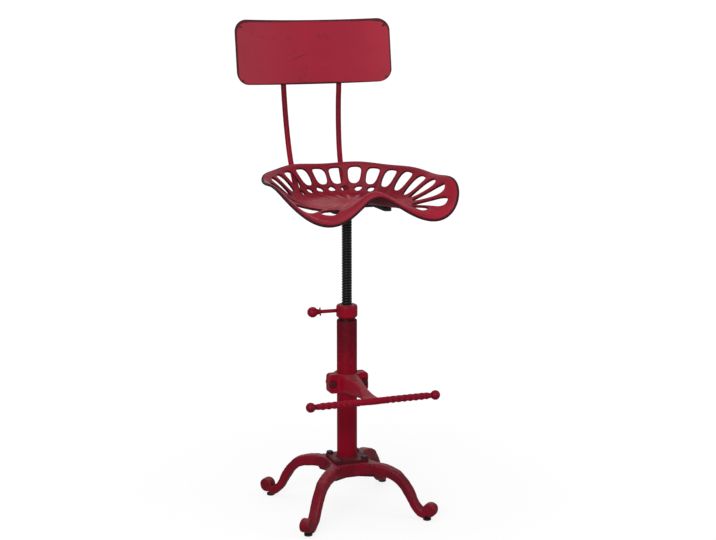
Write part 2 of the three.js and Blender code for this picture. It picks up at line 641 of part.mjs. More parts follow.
function footrestBall(side) {
  const radius = BALL_DIAMETER / 2;
  const end = BALL_OFFSET - radius + FIT;
  const ball = new THREE.SphereGeometry(radius, SMALL_SIDES, BALL_ROWS).rotateZ(Math.PI / 2)
    .translate(side * BALL_OFFSET, -BAR_FORWARD, BAR_HEIGHT);
  const face = end + FIT;
  const flat = block(-face, face, -BAR_FORWARD - radius, radius - BAR_FORWARD, BAR_HEIGHT - radius,
    BAR_HEIGHT + radius);
  const socket = rod(BALL_SPIGOT_DIAMETER / 2 + FIT, end - OVERRUN, end + BALL_SPIGOT_LENGTH + FIT)
    .rotateY(side * Math.PI / 2).translate(0, -BAR_FORWARD, BAR_HEIGHT);
  return cut(ball, flat, socket);
}

// Bracket under the seat: a cross plate on the screw with two bars that run front to back
function seatBracket() {
  const inner = BRACKET_BAR_OFFSET - BRACKET_BAR_WIDTH / 2;
  const outer = BRACKET_BAR_OFFSET + BRACKET_BAR_WIDTH / 2;
  const endRound = BRACKET_BAR_WIDTH / 2;
  const bars = [-1, 1].map((side) => {
    const shape = new THREE.Shape();
    shape.moveTo(side * outer, BRACKET_BAR_BACK);
    shape.lineTo(side * inner, BRACKET_BAR_BACK);
    shape.lineTo(side * inner, endRound - BRACKET_BAR_FRONT);
    shape.absarc(side * BRACKET_BAR_OFFSET, endRound - BRACKET_BAR_FRONT, endRound,
      side > 0 ? Math.PI : 0, side > 0 ? Math.PI * 2 : -Math.PI, side < 0);
    shape.closePath();
    return upward(shape, BRACKET_THICKNESS, BRACKET_UNDERSIDE);
  });
  const cross = block(-outer, outer, -BRACKET_PLATE_HALF_LENGTH, BRACKET_PLATE_HALF_LENGTH,
    BRACKET_UNDERSIDE, BRACKET_TOP);
  const endHoles = [-1, 1].map((side) =>
    rod(BRACKET_END_HOLE / 2, BRACKET_UNDERSIDE - OVERRUN, BRACKET_TOP + OVERRUN)
      .translate(side * BRACKET_BAR_OFFSET, endRound - BRACKET_BAR_FRONT, 0));
  const body = cut(join(cross, ...bars), ...endHoles);
  return drillQuarters(body, SEAT_SCREW_OFFSET, BRACKET_UNDERSIDE, BRACKET_TOP);
}

// Seat pan: the bearing runs from 0 at the back to 180 at the front, and the share from middle to rim
function waves(shares, bearing) {
  return shares.reduce((sum, share, order) => sum + share * Math.cos(order * bearing), 0);
}

function fromBack(bearing) {
  return Math.abs(THREE.MathUtils.euclideanModulo(bearing + Math.PI, Math.PI * 2) - Math.PI);
}

function panHeight(bearing, share) {
  const away = fromBack(bearing);
  const wall = THREE.MathUtils.smoothstep(share, wallStartShare, 1);
  const roll = Math.pow(Math.max(0, (share - rollStartShare) / (1 - rollStartShare)), rollSkewShare);
  const lobe = THREE.MathUtils.smoothstep(away, degrees(LOBE_START_BEARING), degrees(LOBE_FULL_BEARING));
  const rise = SEAT_RISE * waves(rimRiseShares, bearing) * THREE.MathUtils.lerp(wall, roll, lobe);
  const climb = Math.pow(Math.max(0, (share - bumpStartShare) / (1 - bumpStartShare)), bumpSkewShare);
  const spread = Math.exp(-Math.pow((Math.PI - away) / degrees(POMMEL_SPREAD), 2));
  const pommel = SEAT_POMMEL_RISE * Math.sin(Math.PI * climb) * spread;
  return SEAT_FLOOR + rise + pommel;
}

function panPoint(bearing, share) {
  const radius = SEAT_MEAN_RADIUS * waves(rimRadiusShares, bearing) * share;
  return V(radius * Math.sin(bearing), radius * Math.cos(bearing) - SEAT_CENTRE_FORWARD,
    panHeight(bearing, share));
}

function panNormal(bearing, share) {
  const step = slopeStepShare;
  const alongRim = panPoint(bearing + step, share).sub(panPoint(bearing - step, share));
  const alongRay = panPoint(bearing, share).sub(panPoint(bearing, share - step));
  return alongRim.cross(alongRay).normalize();
}

function panBlank() {
  const outward = [...panRingShares.map((share) => [share, 0]), ...rimRoundShares,
    ...panRingShares.slice().reverse().map((share) => [share, 1])];
  const rings = outward.map(([share, depth]) => Array.from({ length: SEAT_SIDES }, (_, side) => {
    const bearing = (side / SEAT_SIDES) * Math.PI * 2;
    const normal = panNormal(bearing, share);
    return panPoint(bearing, share).addScaledVector(normal, -depth * SEAT_THICKNESS);
  }));
  const middle = panPoint(0, 0);
  return skinRings(middle, rings, middle.clone().setZ(middle.z - SEAT_THICKNESS));
}

function throughPan(outline) {
  const shape = new THREE.Shape(outline.map(([x, y]) => new THREE.Vector2(x, y)));
  return upward(shape, SEAT_RISE + SEAT_RISE * 2, SEAT_FLOOR - SEAT_RISE);
}

// A slot between two ribs that run out from the middle of the pan
function slotCutter(bearing) {
  const between = (shares, bearings) => THREE.MathUtils.lerp(...shares,
    THREE.MathUtils.smoothstep(fromBack(bearing), ...bearings.map(degrees)));
  const outer = between(slotOuterShares, SLOT_OUTER_BEARINGS);
  const inner = between(slotInnerShares, SLOT_INNER_BEARINGS);
  const middle = panPoint(bearing, 0);
  const across = V(Math.cos(bearing), -Math.sin(bearing), 0);
  const edge = (sign) => slotOutlineShares.map(([along, wide]) => {
    const place = panPoint(bearing, THREE.MathUtils.lerp(outer, inner, along)).setZ(middle.z);
    const clear = place.distanceTo(middle) * degrees(SLOT_PITCH) - RIB_WIDTH;
    return place.addScaledVector(across, sign * wide * Math.min(clear, SLOT_WIDTH) / 2);
  });
  const outline = [...edge(1), ...edge(-1).slice(1, -1).reverse()];
  return throughPan(outline.map(({ x, y }) => [x, y]));
}

function ovalCutter(bearing) {
  const middle = panPoint(bearing, ovalPlaceShare);
  const outline = Array.from({ length: SMALL_SIDES }, (_, side) => {
    const angle = (side / SMALL_SIDES) * Math.PI * 2;
    const [along, wide] = [Math.cos(angle) * OVAL_LENGTH / 2, Math.sin(angle) * OVAL_WIDTH / 2];
    return [middle.x + along * Math.sin(bearing) + wide * Math.cos(bearing),
      middle.y + along * Math.cos(bearing) - wide * Math.sin(bearing)];
  });
  return throughPan(outline);
}

// A flat-head screw that stands on z = 0 with its head upmost
function flatHeadScrew(spare) {
  const radius = BOLT_DIAMETER / 2 + spare;
  const top = SEAT_THICKNESS + FIT + BRACKET_THICKNESS + SEAT_SCREW_END;
  const head = SEAT_SCREW_HEAD_DIAMETER / 2 + spare;
  const profile = [[0, 0], [radius, 0], [radius, top - SEAT_SCREW_HEAD_DEPTH], [head, top], [0, top]];
  return turned(profile, SMALL_SIDES);
}

function seatPan() {
  const cutters = [];
  for (const bearing of SLOT_BEARINGS.map(degrees)) {
    cutters.push(slotCutter(bearing), slotCutter(-bearing));
  }
  for (let oval = -OVALS_A_SIDE; oval <= OVALS_A_SIDE; oval++) {
    cutters.push(ovalCutter(degrees(oval * OVAL_PITCH)));
  }
  for (const { x, y } of QUARTERS) {
    cutters.push(flatHeadScrew(FIT)
      .translate(x * SEAT_SCREW_OFFSET, y * SEAT_SCREW_OFFSET, BRACKET_UNDERSIDE - SEAT_SCREW_END));
  }
  return cut(panBlank(), ...cutters);
}

// Back rods and panel
function backRod(side) {
  const start = V(BRACKET_BAR_OFFSET, BRACKET_BAR_BACK + FIT, BRACKET_TOP - ROD_DIAMETER / 2);
  const low = V(ROD_SPREAD_HIGH, rodBackAt(0), PANEL_UNDERSIDE);
  const places = rodPathShares.map(([back, up]) => V(
    THREE.MathUtils.lerp(start.x, low.x, up),
    THREE.MathUtils.lerp(start.y, low.y, back),
    THREE.MathUtils.lerp(start.z, low.z, up)));
  const high = PANEL_HEIGHT - ROD_TOP_BELOW_PANEL_TOP;
  for (const along of [high / 2, high]) {
    const up = along * Math.cos(degrees(PANEL_LEAN));
    places.push(V(ROD_SPREAD_HIGH, rodBackAt(along), PANEL_UNDERSIDE + up));
  }
  const path = new THREE.CatmullRomCurve3(places, false, 'centripetal');
  const outline = new THREE.Shape().absarc(0, 0, ROD_DIAMETER / 2, 0, Math.PI * 2);
  const geometry = new THREE.ExtrudeGeometry(outline,
    { steps: ROD_STEPS, curveSegments: SMALL_SIDES / 2, extrudePath: path, bevelEnabled: false });
  return side > 0 ? geometry : geometryOf(mergedSolid(geometry).mirror([1, 0, 0]));
}

// How far back the middle of a rod lies where it is welded to the panel's back
function rodBackAt(along) {
  const lean = degrees(PANEL_LEAN);
  return PANEL_BACK + along * Math.sin(lean) - panelBow(ROD_SPREAD_HIGH) * Math.cos(lean)
    + (PANEL_THICKNESS + PANEL_LIP + ROD_DIAMETER / 2 + FIT) / Math.cos(lean);
}

function panelBow(x) {
  return PANEL_BOW * Math.pow(x / (PANEL_WIDTH / 2), 2);
}

function panelOutline() {
  const [right, top] = [PANEL_WIDTH / 2 - PANEL_CORNER, PANEL_HEIGHT / 2 - PANEL_CORNER];
  const corners = [[right, top], [-right, top], [-right, -top], [right, -top]];
  const points = [];
  corners.forEach(([x, y], corner) => {
    for (let step = 0; step <= PANEL_CORNER_STEPS; step++) {
      const angle = (corner + step / PANEL_CORNER_STEPS) * Math.PI / 2;
      points.push({ x: x + PANEL_CORNER * Math.cos(angle), y: y + PANEL_CORNER * Math.sin(angle) });
    }
    const level = corner % 2 === 0;
    for (let step = 1; level && step < PANEL_EDGE_STEPS; step++) {
      const across = THREE.MathUtils.lerp(x, -x, step / PANEL_EDGE_STEPS);
      points.push({ x: across, y: y + PANEL_CORNER * Math.sign(y) });
    }
  });
  return points;
}

function backPanel() {
  const outline = panelOutline();
  const [lipX, lipY] = [PANEL_LIP_WIDTH / (PANEL_WIDTH / 2), PANEL_LIP_WIDTH / (PANEL_HEIGHT / 2)];
  const stations = [
    ...panelRingShares.map((share) => [share, share, 0]),
    [1 - lipX / 2, 1 - lipY / 2, 0], [1, 1, PANEL_THICKNESS / 2],
    [1, 1, PANEL_THICKNESS + PANEL_LIP], [1 - lipX, 1 - lipY, PANEL_THICKNESS + PANEL_LIP],
    [1 - lipX, 1 - lipY, PANEL_THICKNESS],
    ...panelRingShares.slice().reverse().map((share) => [share, share, PANEL_THICKNESS]),
  ];
  const place = (x, along, depth) => {
    const lean = degrees(PANEL_LEAN);
    const back = depth - panelBow(x);
    return V(x, PANEL_BACK + along * Math.sin(lean) + back * Math.cos(lean),
      PANEL_UNDERSIDE + along * Math.cos(lean) - back * Math.sin(lean));
  };
  const rings = stations.map(([acrossShare, upShare, depth]) =>
    outline.map(({ x, y }) => place(x * acrossShare, PANEL_HEIGHT / 2 + y * upShare, depth)));
  return skinRings(place(0, PANEL_HEIGHT / 2, 0), rings, place(0, PANEL_HEIGHT / 2, PANEL_THICKNESS));
}

// Assembly
const stool = new THREE.Group();
const onAxis = new THREE.Group();
stool.add(onAxis);

function add(name, geometry, finish) {
  const mesh = new THREE.Mesh(geometry, new THREE.MeshStandardMaterial(finish));
  mesh.name = name;
  onAxis.add(mesh);
  return mesh;
}

function addBase() {
  add('base_plate', basePlate(), RED_PAINT);
  add('column_flange', columnFlange(), RED_PAINT);
  add('column_tube', columnTube(), RED_PAINT);
  add('column_nut', columnNut(), BLACK_STEEL);
  const [legShape, padShape] = [leg(), footPad()];
  const boltTop = FLANGE_TOP + FIT;
  const boltLength = boltTop - BASE_PLATE_UNDERSIDE;
  for (const { name, turn, x, y } of QUARTERS) {
    add(`leg_${name}`, legShape, RED_PAINT).rotation.z = degrees(turn);
    add(`foot_pad_${name}`, padShape, BLACK_RUBBER).rotation.z = degrees(turn);
    add(`leg_bolt_${name}`, hexBolt(boltLength), BLACK_STEEL)
      .position.set(x * LEG_BOLT_OFFSET, y * LEG_BOLT_OFFSET, boltTop);
  }
}

function addLock() {
  add('lock_ring', lockRing(), RED_PAINT);
  add('lock_handle', lockHandle(), RED_PAINT);
}

function addFootrest() {
  add('footrest_clamp_front', clampHalf(true), RED_PAINT);
  add('footrest_clamp_rear', clampHalf(false), RED_PAINT);
  add('footrest_bar', footrestBar(), RED_PAINT);
  const face = CLAMP_SPLIT / 2 + EAR_THICKNESS + FIT;
  for (const [name, side] of [['left', -1], ['right', 1]]) {
    add(`footrest_ball_${name}`, footrestBall(side), RED_PAINT);
    const bolt = add(`clamp_bolt_${name}`, hexBolt(face * 2 + NUT_HEIGHT + BOLT_END), BLACK_STEEL);
    bolt.rotation.x = Math.PI / 2;
    bolt.position.set(side * EAR_BOLT_OFFSET, -face, CLAMP_MIDDLE);
    const nut = add(`clamp_nut_${name}`, hexNut(), BLACK_STEEL);
    nut.rotation.x = -Math.PI / 2;
    nut.position.set(side * EAR_BOLT_OFFSET, face, CLAMP_MIDDLE);
  }
}

function addSeat() {
  add('screw_stop_washer', stopWasher(), BLACK_STEEL);
  add('screw_stop_bolt', stopBolt(), BLACK_STEEL);
  add('lifting_screw', liftingScrew(), BLACK_STEEL);
  add('seat_bracket', seatBracket(), BLACK_STEEL);
  add('seat_pan', seatPan(), RED_PAINT);
  for (const { name, x, y } of QUARTERS) {
    add(`seat_screw_${name}`, flatHeadScrew(0), RED_PAINT)
      .position.set(x * SEAT_SCREW_OFFSET, y * SEAT_SCREW_OFFSET, BRACKET_UNDERSIDE - SEAT_SCREW_END);
  }
  add('back_rod_left', backRod(-1), RED_PAINT);
  add('back_rod_right', backRod(1), RED_PAINT);
  add('back_panel', backPanel(), RED_PAINT);
}

addBase();
addLock();
addFootrest();
addSeat();

const bounds = new THREE.Box3().setFromObject(onAxis, true);
onAxis.position.y = -(bounds.min.y + bounds.max.y) / 2;

export default stool;
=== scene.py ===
# A cast-iron tractor seat stool, dressed: worn red paint, threaded black screw, soft cast edges.
# Shapes are in millimetres round the screw's axis, as in the CAD source. A mesh is in metres.
from math import acos, asin, cos, pi, radians, sin, sqrt, tan, tau

import bmesh
import bpy
import numpy as np
from mathutils import Matrix, Vector, noise
from mathutils.geometry import delaunay_2d_cdt
from numpy.linalg import norm


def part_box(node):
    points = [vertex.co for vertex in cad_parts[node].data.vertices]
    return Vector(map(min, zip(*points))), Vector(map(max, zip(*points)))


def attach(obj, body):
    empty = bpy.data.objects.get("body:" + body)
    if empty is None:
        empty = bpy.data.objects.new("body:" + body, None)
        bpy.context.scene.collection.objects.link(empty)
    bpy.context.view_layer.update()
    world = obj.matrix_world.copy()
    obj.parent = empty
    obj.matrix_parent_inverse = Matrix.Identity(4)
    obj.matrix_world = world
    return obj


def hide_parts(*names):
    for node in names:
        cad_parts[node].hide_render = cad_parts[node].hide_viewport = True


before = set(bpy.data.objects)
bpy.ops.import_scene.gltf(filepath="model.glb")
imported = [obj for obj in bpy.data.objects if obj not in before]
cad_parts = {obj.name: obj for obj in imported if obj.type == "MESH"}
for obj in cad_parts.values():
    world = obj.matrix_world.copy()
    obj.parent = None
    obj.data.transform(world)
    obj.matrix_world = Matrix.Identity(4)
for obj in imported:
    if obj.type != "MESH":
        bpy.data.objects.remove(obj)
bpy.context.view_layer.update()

MM = 0.001
DOUBLED = 1e-6  # metres between points that count as one
COLUMN_LOW, COLUMN_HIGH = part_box("column_tube")
AXIS = Vector((0, (COLUMN_LOW.y + COLUMN_HIGH.y) / 2, 0))
FIT = 0.3  # clearance between solids


# Numbers and curves
columns = np.column_stack


def lerp(a, b, t):
    return a + (b - a) * t


def ease(x, a, b):
    """0 at a and 1 at b, with a soft start and end."""
    t = np.clip((x - a) / (b - a), 0, 1)
    return t * t * (3 - 2 * t)


def fade(x, a, b):
    return 1 - ease(x, a, b)


def unit(rows):
    return rows / norm(rows, axis=1)[:, None]


def curve_through(rows, count, dims=3):
    """Rows on a centripetal curve through the given rows; the first dims columns are a place."""
    p = np.asarray(rows, float)
    p = np.vstack([2 * p[0] - p[1], p, 2 * p[-1] - p[-2]])
    gaps = np.sqrt(norm(np.diff(p[:, :dims], axis=0), axis=1))
    t = np.concatenate([[0], np.cumsum(gaps)])
    out = []
    for u in np.linspace(t[1], t[-2], count):
        i = int(np.clip(np.searchsorted(t, u) - 1, 1, len(p) - 3))
        part = lambda a, b: (u - t[a]) / (t[b] - t[a])
        one = [lerp(p[k], p[k + 1], part(k, k + 1)) for k in (i - 1, i, i + 1)]
        two = [lerp(one[k], one[k + 1], part(i + k - 1, i + k + 1)) for k in (0, 1)]
        out.append(lerp(*two, part(i, i + 1)))
    return np.array(out)


def corner(start, peak, end, steps):
    """A curve from start to end that is drawn towards the peak."""
    a, b, c = np.array([start, peak, end], float)
    return [(1 - t) ** 2 * a + 2 * t * (1 - t) * b + t * t * c for t in np.linspace(0, 1, steps + 1)]


def soften(points, radius, steps, closed=True):
    """A polyline with its corners rounded."""
    p = np.asarray(points, float)
    out = []
    for i, q in enumerate(p):
        if not closed and i in (0, len(p) - 1):
            out.append(q)
            continue
        # an arc takes less than half of a side, so that two neighbours never meet
        a, b = p[i - 1] - q, p[(i + 1) % len(p)] - q
        la, lb = norm(a), norm(b)
        cut = min(radius, la * 0.48, lb * 0.48)
        out += corner(q + a / la * cut, q, q + b / lb * cut, steps)
    return np.array(out)


def circle(sides):
    return np.arange(sides) / sides * tau


# Outlines and sections
def rectangle(w, h):
    return [(w, h), (-w, h), (-w, -h), (w, -h)]


def walls(bore, radius, low, high):
    """The section of a sleeve, or of a cylinder where the bore is 0."""
    return [(bore, low), (radius, low), (radius, high), (bore, high)]


def ball_rows(radius, middle, start, count):
    """The section of a ball, from an angle to its far pole."""
    angles = np.linspace(start, pi, count)[:-1]
    return [(radius * sin(t), middle - radius * cos(t)) for t in angles] + [(0, middle + radius)]


def ring_at(angle, radius, z):
    return columns([radius * np.cos(angle), radius * np.sin(angle), z + 0 * angle])


# Closed shapes as (points, faces)
def strips(levels):
    """Faces between neighbouring rings of point numbers."""
    faces = []
    for near, far in zip(levels, levels[1:]):
        for i in range(len(near)):
            j = (i + 1) % len(near)
            faces.append((near[i], near[j], far[j], far[i]))
    return faces


def skin(rings):
    """A closed skin over rings of points, with flat ends."""
    rings = np.asarray(rings, float)
    levels = np.arange(rings.size // 3).reshape(len(rings), -1).tolist()
    return rings.reshape(-1, 3), strips(levels) + [levels[0][::-1], levels[-1]]


def turned(profile, sides, edge=0, steps=0):
    """A piece turned about Z, from rows of a radius and a height. The edge rounds its corners."""
    hollow = profile[0][0] > 0
    if edge:
        profile = soften(profile, edge, steps, closed=hollow)
    points = [(r * cos(a), r * sin(a), z) for r, z in profile for a in circle(sides)]
    levels = np.arange(len(points)).reshape(-1, sides).tolist()
    return np.array(points), strips(levels + levels[:1] if hollow else levels)


def prism(outline, low, high):
    """A straight piece with the outline for its section."""
    level = lambda z: columns([outline, np.full(len(outline), z)])
    return skin([level(low), level(high)])


def rod(radius, low, high, sides=48):
    angle = circle(sides)
    return prism(columns([np.cos(angle), np.sin(angle)]) * radius, low, high)


def moved(shape, matrix):
    points, faces = shape
    m = np.array(matrix)
    return points @ m[:3, :3].T + m[:3, 3], faces


def shifted(shape, x=0, y=0, z=0):
    return moved(shape, Matrix.Translation((x, y, z)))


def joined(shapes):
    points, faces, start = [], [], 0
    for p, f in shapes:
        points.append(p)
        faces += [tuple(start + i for i in face) for face in f]
        start += len(p)
    return np.vstack(points), faces


def spin(axis, degrees):
    return Matrix.Rotation(radians(degrees), 4, axis)


# Meshes
def linked(name, data):
    made = bpy.data.objects.new(name, data)
    bpy.context.scene.collection.objects.link(made)
    return made


def mesh_of(name, shape):
    """A mesh with doubled points merged and its faces turned outwards."""
    points, faces = shape
    mesh = bpy.data.meshes.new(name)
    mesh.from_pydata((points * MM).tolist(), [], faces)
    bm = bmesh.new()
    bm.from_mesh(mesh)
    bmesh.ops.remove_doubles(bm, verts=bm.verts, dist=DOUBLED)
    bmesh.ops.recalc_face_normals(bm, faces=bm.faces)
    bm.to_mesh(mesh)
    bm.free()
    return mesh


def add_modifier(made, kind, settings):
    modifier = made.modifiers.new(kind, kind)
    for name, value in settings.items():
        setattr(modifier, name, value)


def modified(mesh, **kinds):
    """The mesh after modifiers, each given as its kind and its settings."""
    passing = linked(mesh.name, mesh)
    for kind, settings in kinds.items():
        add_modifier(passing, kind, settings)
    graph = bpy.context.evaluated_depsgraph_get()
    result = bpy.data.meshes.new_from_object(passing.evaluated_get(graph))
    bpy.data.objects.remove(passing)
    return result


def fused(name, shapes, voxel, rounds):
    """One cast skin over overlapping shapes, smoothed so many rounds."""
    remesh = {"mode": "VOXEL", "voxel_size": voxel * MM}
    smooth = {"factor": 0.5, "iterations": rounds}
    return modified(mesh_of(name, joined(shapes)), REMESH=remesh, SMOOTH=smooth)


def carved(mesh, shapes):
    """The mesh with closed, separate shapes cut out of it."""
    cutter = linked("cutter", mesh_of("cutter", joined(shapes)))
    result = modified(mesh, BOOLEAN={"operation": "DIFFERENCE", "solver": "EXACT", "object": cutter})
    bpy.data.objects.remove(cutter)
    return result


def sliced(mesh, place, normal):
    """Takes off what lies on the normal's side of a plane, and closes the cut."""
    bm = bmesh.new()
    bm.from_mesh(mesh)
    everything = bm.verts[:] + bm.edges[:] + bm.faces[:]
    made = bmesh.ops.bisect_plane(
        bm, geom=everything, plane_co=Vector(place) * MM, plane_no=normal, clear_outer=True
    )
    edges = [e for e in made["geom_cut"] if isinstance(e, bmesh.types.BMEdge)]
    bmesh.ops.holes_fill(bm, edges=edges, sides=0)
    bm.to_mesh(mesh)
    bm.free()


def piece(name, mesh, material, body, node, sharp=40, turn=0, marks=None):
    """A shown piece for a CAD node. The marks function gives its points' numbers that the paint reads."""
    if not isinstance(mesh, bpy.types.Mesh):
        mesh = mesh_of(name, mesh)
    mesh.polygons.foreach_set("use_smooth", [True] * len(mesh.polygons))
    mesh.set_sharp_from_angle(angle=radians(sharp))
    if marks:
        co = np.zeros(len(mesh.vertices) * 3)
        mesh.vertices.foreach_get("co", co)
        for mark, values in marks(co.reshape(-1, 3) / MM).items():
            attribute = mesh.attributes.new(mark, "FLOAT", "POINT")
            attribute.data.foreach_set("value", values.astype(np.float32))
    mesh.materials.clear()
    mesh.materials.append(material)
    made = linked(name, mesh)
    made.matrix_world = Matrix.Translation(AXIS) @ spin("Z", turn)
    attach(made, body)
    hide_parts(node)


# Materials, with colours as linear red, green and blue
GLAZE = (0.055, 0.012, 0.016)
# pinkish colour of a painted highlight
HIGHLIGHT_PINK = (0.40, 0.165, 0.175)
SHADOW = (0.040, 0.003, 0.007)
BARE_IRON = (0.022, 0.005, 0.008)
RUBBED_AND_HIGHLIGHT_STEEL = (0.060, 0.057, 0.055)
OILED_BLACK = (0.007, 0.007, 0.008)
SOOTY_BLACK = (0.008, 0.007, 0.007)
PAINTED_BOLT = (0.075, 0.006, 0.011)
RUBBER_BLACK = (0.011, 0.011, 0.012)
RUBBER_GREY = (0.035, 0.033, 0.033)
PAPER = (0.93, 0.93, 0.93)
DULL = 0.25


class Nodes:
    """A new material, with short calls for its nodes."""

    def __init__(self, name):
        self.material = bpy.data.materials.new(name)
        self.material.use_nodes = True
        self.tree = self.material.node_tree
        self.shader = self.tree.nodes["Principled BSDF"]
        self.place = self.new("TexCoord", "Object")

    def fill(self, node, values):
        """Links each input to a socket, or sets it to a number or a colour."""
        for key, value in values.items():
            if isinstance(value, bpy.types.NodeSocket):
                self.tree.links.new(value, node.inputs[key])
            else:
                node.inputs[key].default_value = (*value, 1) if isinstance(value, tuple) else value

    def new(self, kind, output, values=None, **settings):
        node = self.tree.nodes.new("ShaderNode" + kind)
        for name, value in settings.items():
            setattr(node, name, value)
        self.fill(node, values or {})
        return node.outputs[output]

    def noise(self, scale, detail, rough=0.55, distortion=0.0):
        values = {"Scale": scale, "Detail": detail, "Roughness": rough, "Distortion": distortion}
        return self.new("TexNoise", "Fac", {"Vector": self.place, **values})

    def math(self, kind, *values):
        return self.new("Math", 0, dict(enumerate(values)), operation=kind)

    def uneven(self, value, grain, amount):
        """The value, up or down by so much of a noise."""
        return self.math("MULTIPLY_ADD", self.math("SUBTRACT", grain, 0.5), amount, value)

    def spread(self, value, low, high, low_end=0.0, high_end=1.0):
        """Goes smoothly from one end to the other as the value goes from low to high."""
        values = {"Value": value, "From Min": low, "From Max": high, "To Min": low_end, "To Max": high_end}
        return self.new("MapRange", "Result", values, interpolation_type="SMOOTHSTEP")

    def blend(self, share, a, b):
        factor, first, second, colour = 0, 6, 7, 2
        return self.new("Mix", colour, {factor: share, first: a, second: b}, data_type="RGBA")

    def bump(self, height, strength, distance, **below):
        values = {"Height": height, "Strength": strength, "Distance": distance * MM}
        return self.new("Bump", "Normal", {**values, **below})

    def edges(self, grain, amount, full):
        """Where the surface is sharp, broken up by a noise."""
        pointiness = self.new("NewGeometry", "Pointiness")
        return self.spread(self.uneven(pointiness, grain, amount), 0.53, full)

    def upward(self):
        return self.new("SeparateXYZ", "Z", {"Vector": self.new("NewGeometry", "Normal")})

    def mark(self, name):
        return self.new("Attribute", "Fac", attribute_name=name)


def worn_paint(name, bright, deep, edge=0.55, cast=0.12, gloss=0.3, glazing=0.42, top_sheen=0.0):
    """Old red paint: uneven tone, dark glaze in patches, rubbed to dark iron on its edges.

    A point's rub mark bares the iron, its pale mark paints a pinkish highlight and its shade mark paints
    shade. Where a top sheen is given, faces that look up get the same painted highlight.
    """
    n = Nodes(name)
    broad = n.noise(scale=7, detail=3)
    cloudy = n.noise(scale=28, detail=5, rough=0.62, distortion=0.3)
    fine = n.noise(scale=210, detail=4, rough=0.6)
    grit = n.noise(scale=900, detail=2, rough=0.5)
    tone = n.blend(n.spread(broad, 0.32, 0.7), deep, bright)
    glazed = n.blend(n.math("MULTIPLY", n.spread(cloudy, 0.56, 0.74), glazing), tone, GLAZE)
    worn_edge = n.edges(fine, 0.10, 0.60)
    rubbed = n.spread(n.uneven(n.mark("rub"), fine, 0.9), 0.42, 0.8)
    wear = n.math("MULTIPLY", n.math("MAXIMUM", worn_edge, rubbed), edge)
    # painted highlight: the pale mark turns the paint pinkish where light would catch it
    painted_highlight = n.uneven(n.mark("pale"), fine, 0.7)
    # painted sheen: faces that look up are turned pinkish as a highlight
    if top_sheen:
        painted_highlight = n.math("MULTIPLY_ADD", n.spread(n.upward(), 0.3, 0.95), top_sheen, painted_highlight)
    with_highlight = n.blend(n.spread(painted_highlight, 0.25, 1.0, high_end=0.85), glazed, HIGHLIGHT_PINK)
    # painted shade where the shade mark is
    shaded = n.blend(n.mark("shade"), with_highlight, SHADOW)
    rough = n.math("MULTIPLY_ADD", cloudy, 0.16, 0.36)
    grain = n.bump(grit, strength=cast, distance=0.25)
    n.fill(n.shader, {
        "Base Color": n.blend(wear, shaded, BARE_IRON),
        "Roughness": n.math("MULTIPLY_ADD", wear, 0.22, rough),
        "Normal": n.bump(fine, strength=0.22, distance=0.5, Normal=grain),
        "Specular IOR Level": gloss,
    })
    return n.material


def dark_steel(name, base, rough, metal):
    """Dark steel with paler crests: rubbed steel on its sharp edges, and a painted highlight where its pale
    mark is.
    """
    n = Nodes(name)
    fine = n.noise(scale=260, detail=4, rough=0.6)
    cloudy = n.noise(scale=45, detail=3)
    crest = n.math("MULTIPLY", n.math("MAXIMUM", n.edges(fine, 0.06, 0.62), n.mark("pale")), 0.45)
    tone = n.blend(n.spread(cloudy, 0.35, 0.7), base, tuple(c * 1.8 for c in base))
    n.fill(n.shader, {
        "Base Color": n.blend(crest, tone, RUBBED_AND_HIGHLIGHT_STEEL),
        "Roughness": n.math("MULTIPLY_ADD", cloudy, 0.2, rough - 0.1),
        "Normal": n.bump(fine, strength=0.15, distance=0.3),
        "Metallic": metal,
        "Specular IOR Level": DULL,
    })
    return n.material


def matt_rubber(name):
    """Black rubber with a fine grain, greyer where it is scuffed."""
    n = Nodes(name)
    fine = n.noise(scale=520, detail=3)
    scuff = n.math("MULTIPLY", n.spread(n.noise(scale=70, detail=4), 0.5, 0.75), 0.5)
    n.fill(n.shader, {
        "Base Color": n.blend(scuff, RUBBER_BLACK, RUBBER_GREY),
        "Roughness": n.math("MULTIPLY_ADD", fine, 0.15, 0.68),
        "Normal": n.bump(fine, strength=0.3, distance=0.3),
        "Specular IOR Level": DULL,
    })
    return n.material


SEAT_PAINT = worn_paint("seat_paint", (0.35, 0.006, 0.026), (0.22, 0.004, 0.017), edge=0.9, gloss=0.13)
PANEL_PAINT = worn_paint(
    "panel_paint", (0.38, 0.015, 0.036), (0.33, 0.014, 0.034), edge=0.85, cast=0.05, gloss=0.24
)
# the stand and the fittings get a painted sheen on faces that look up
STAND_PAINT = worn_paint(
    "stand_paint", (0.24, 0.002, 0.017), (0.11, 0.002, 0.009), edge=0.8, gloss=0.2, glazing=0.85, top_sheen=0.42
)
COLUMN_PAINT = worn_paint(
    "column_paint", (0.31, 0.003, 0.018), (0.20, 0.002, 0.012), gloss=0.09, glazing=0.25
)
FITTING_PAINT = worn_paint(
    "fitting_paint", (0.36, 0.003, 0.022), (0.24, 0.002, 0.014), edge=0.7, gloss=0.13, top_sheen=0.5
)
BAR_PAINT = worn_paint("bar_paint", (0.27, 0.002, 0.018), (0.17, 0.002, 0.012), edge=0.8, gloss=0.12)
SCREW_STEEL = dark_steel("screw_steel", OILED_BLACK, rough=0.34, metal=0.5)
BOLT_STEEL = dark_steel("bolt_steel", SOOTY_BLACK, rough=0.42, metal=0.4)
CLAMP_STEEL = dark_steel("clamp_steel", PAINTED_BOLT, rough=0.45, metal=0.1)
RUBBER = matt_rubber("rubber")

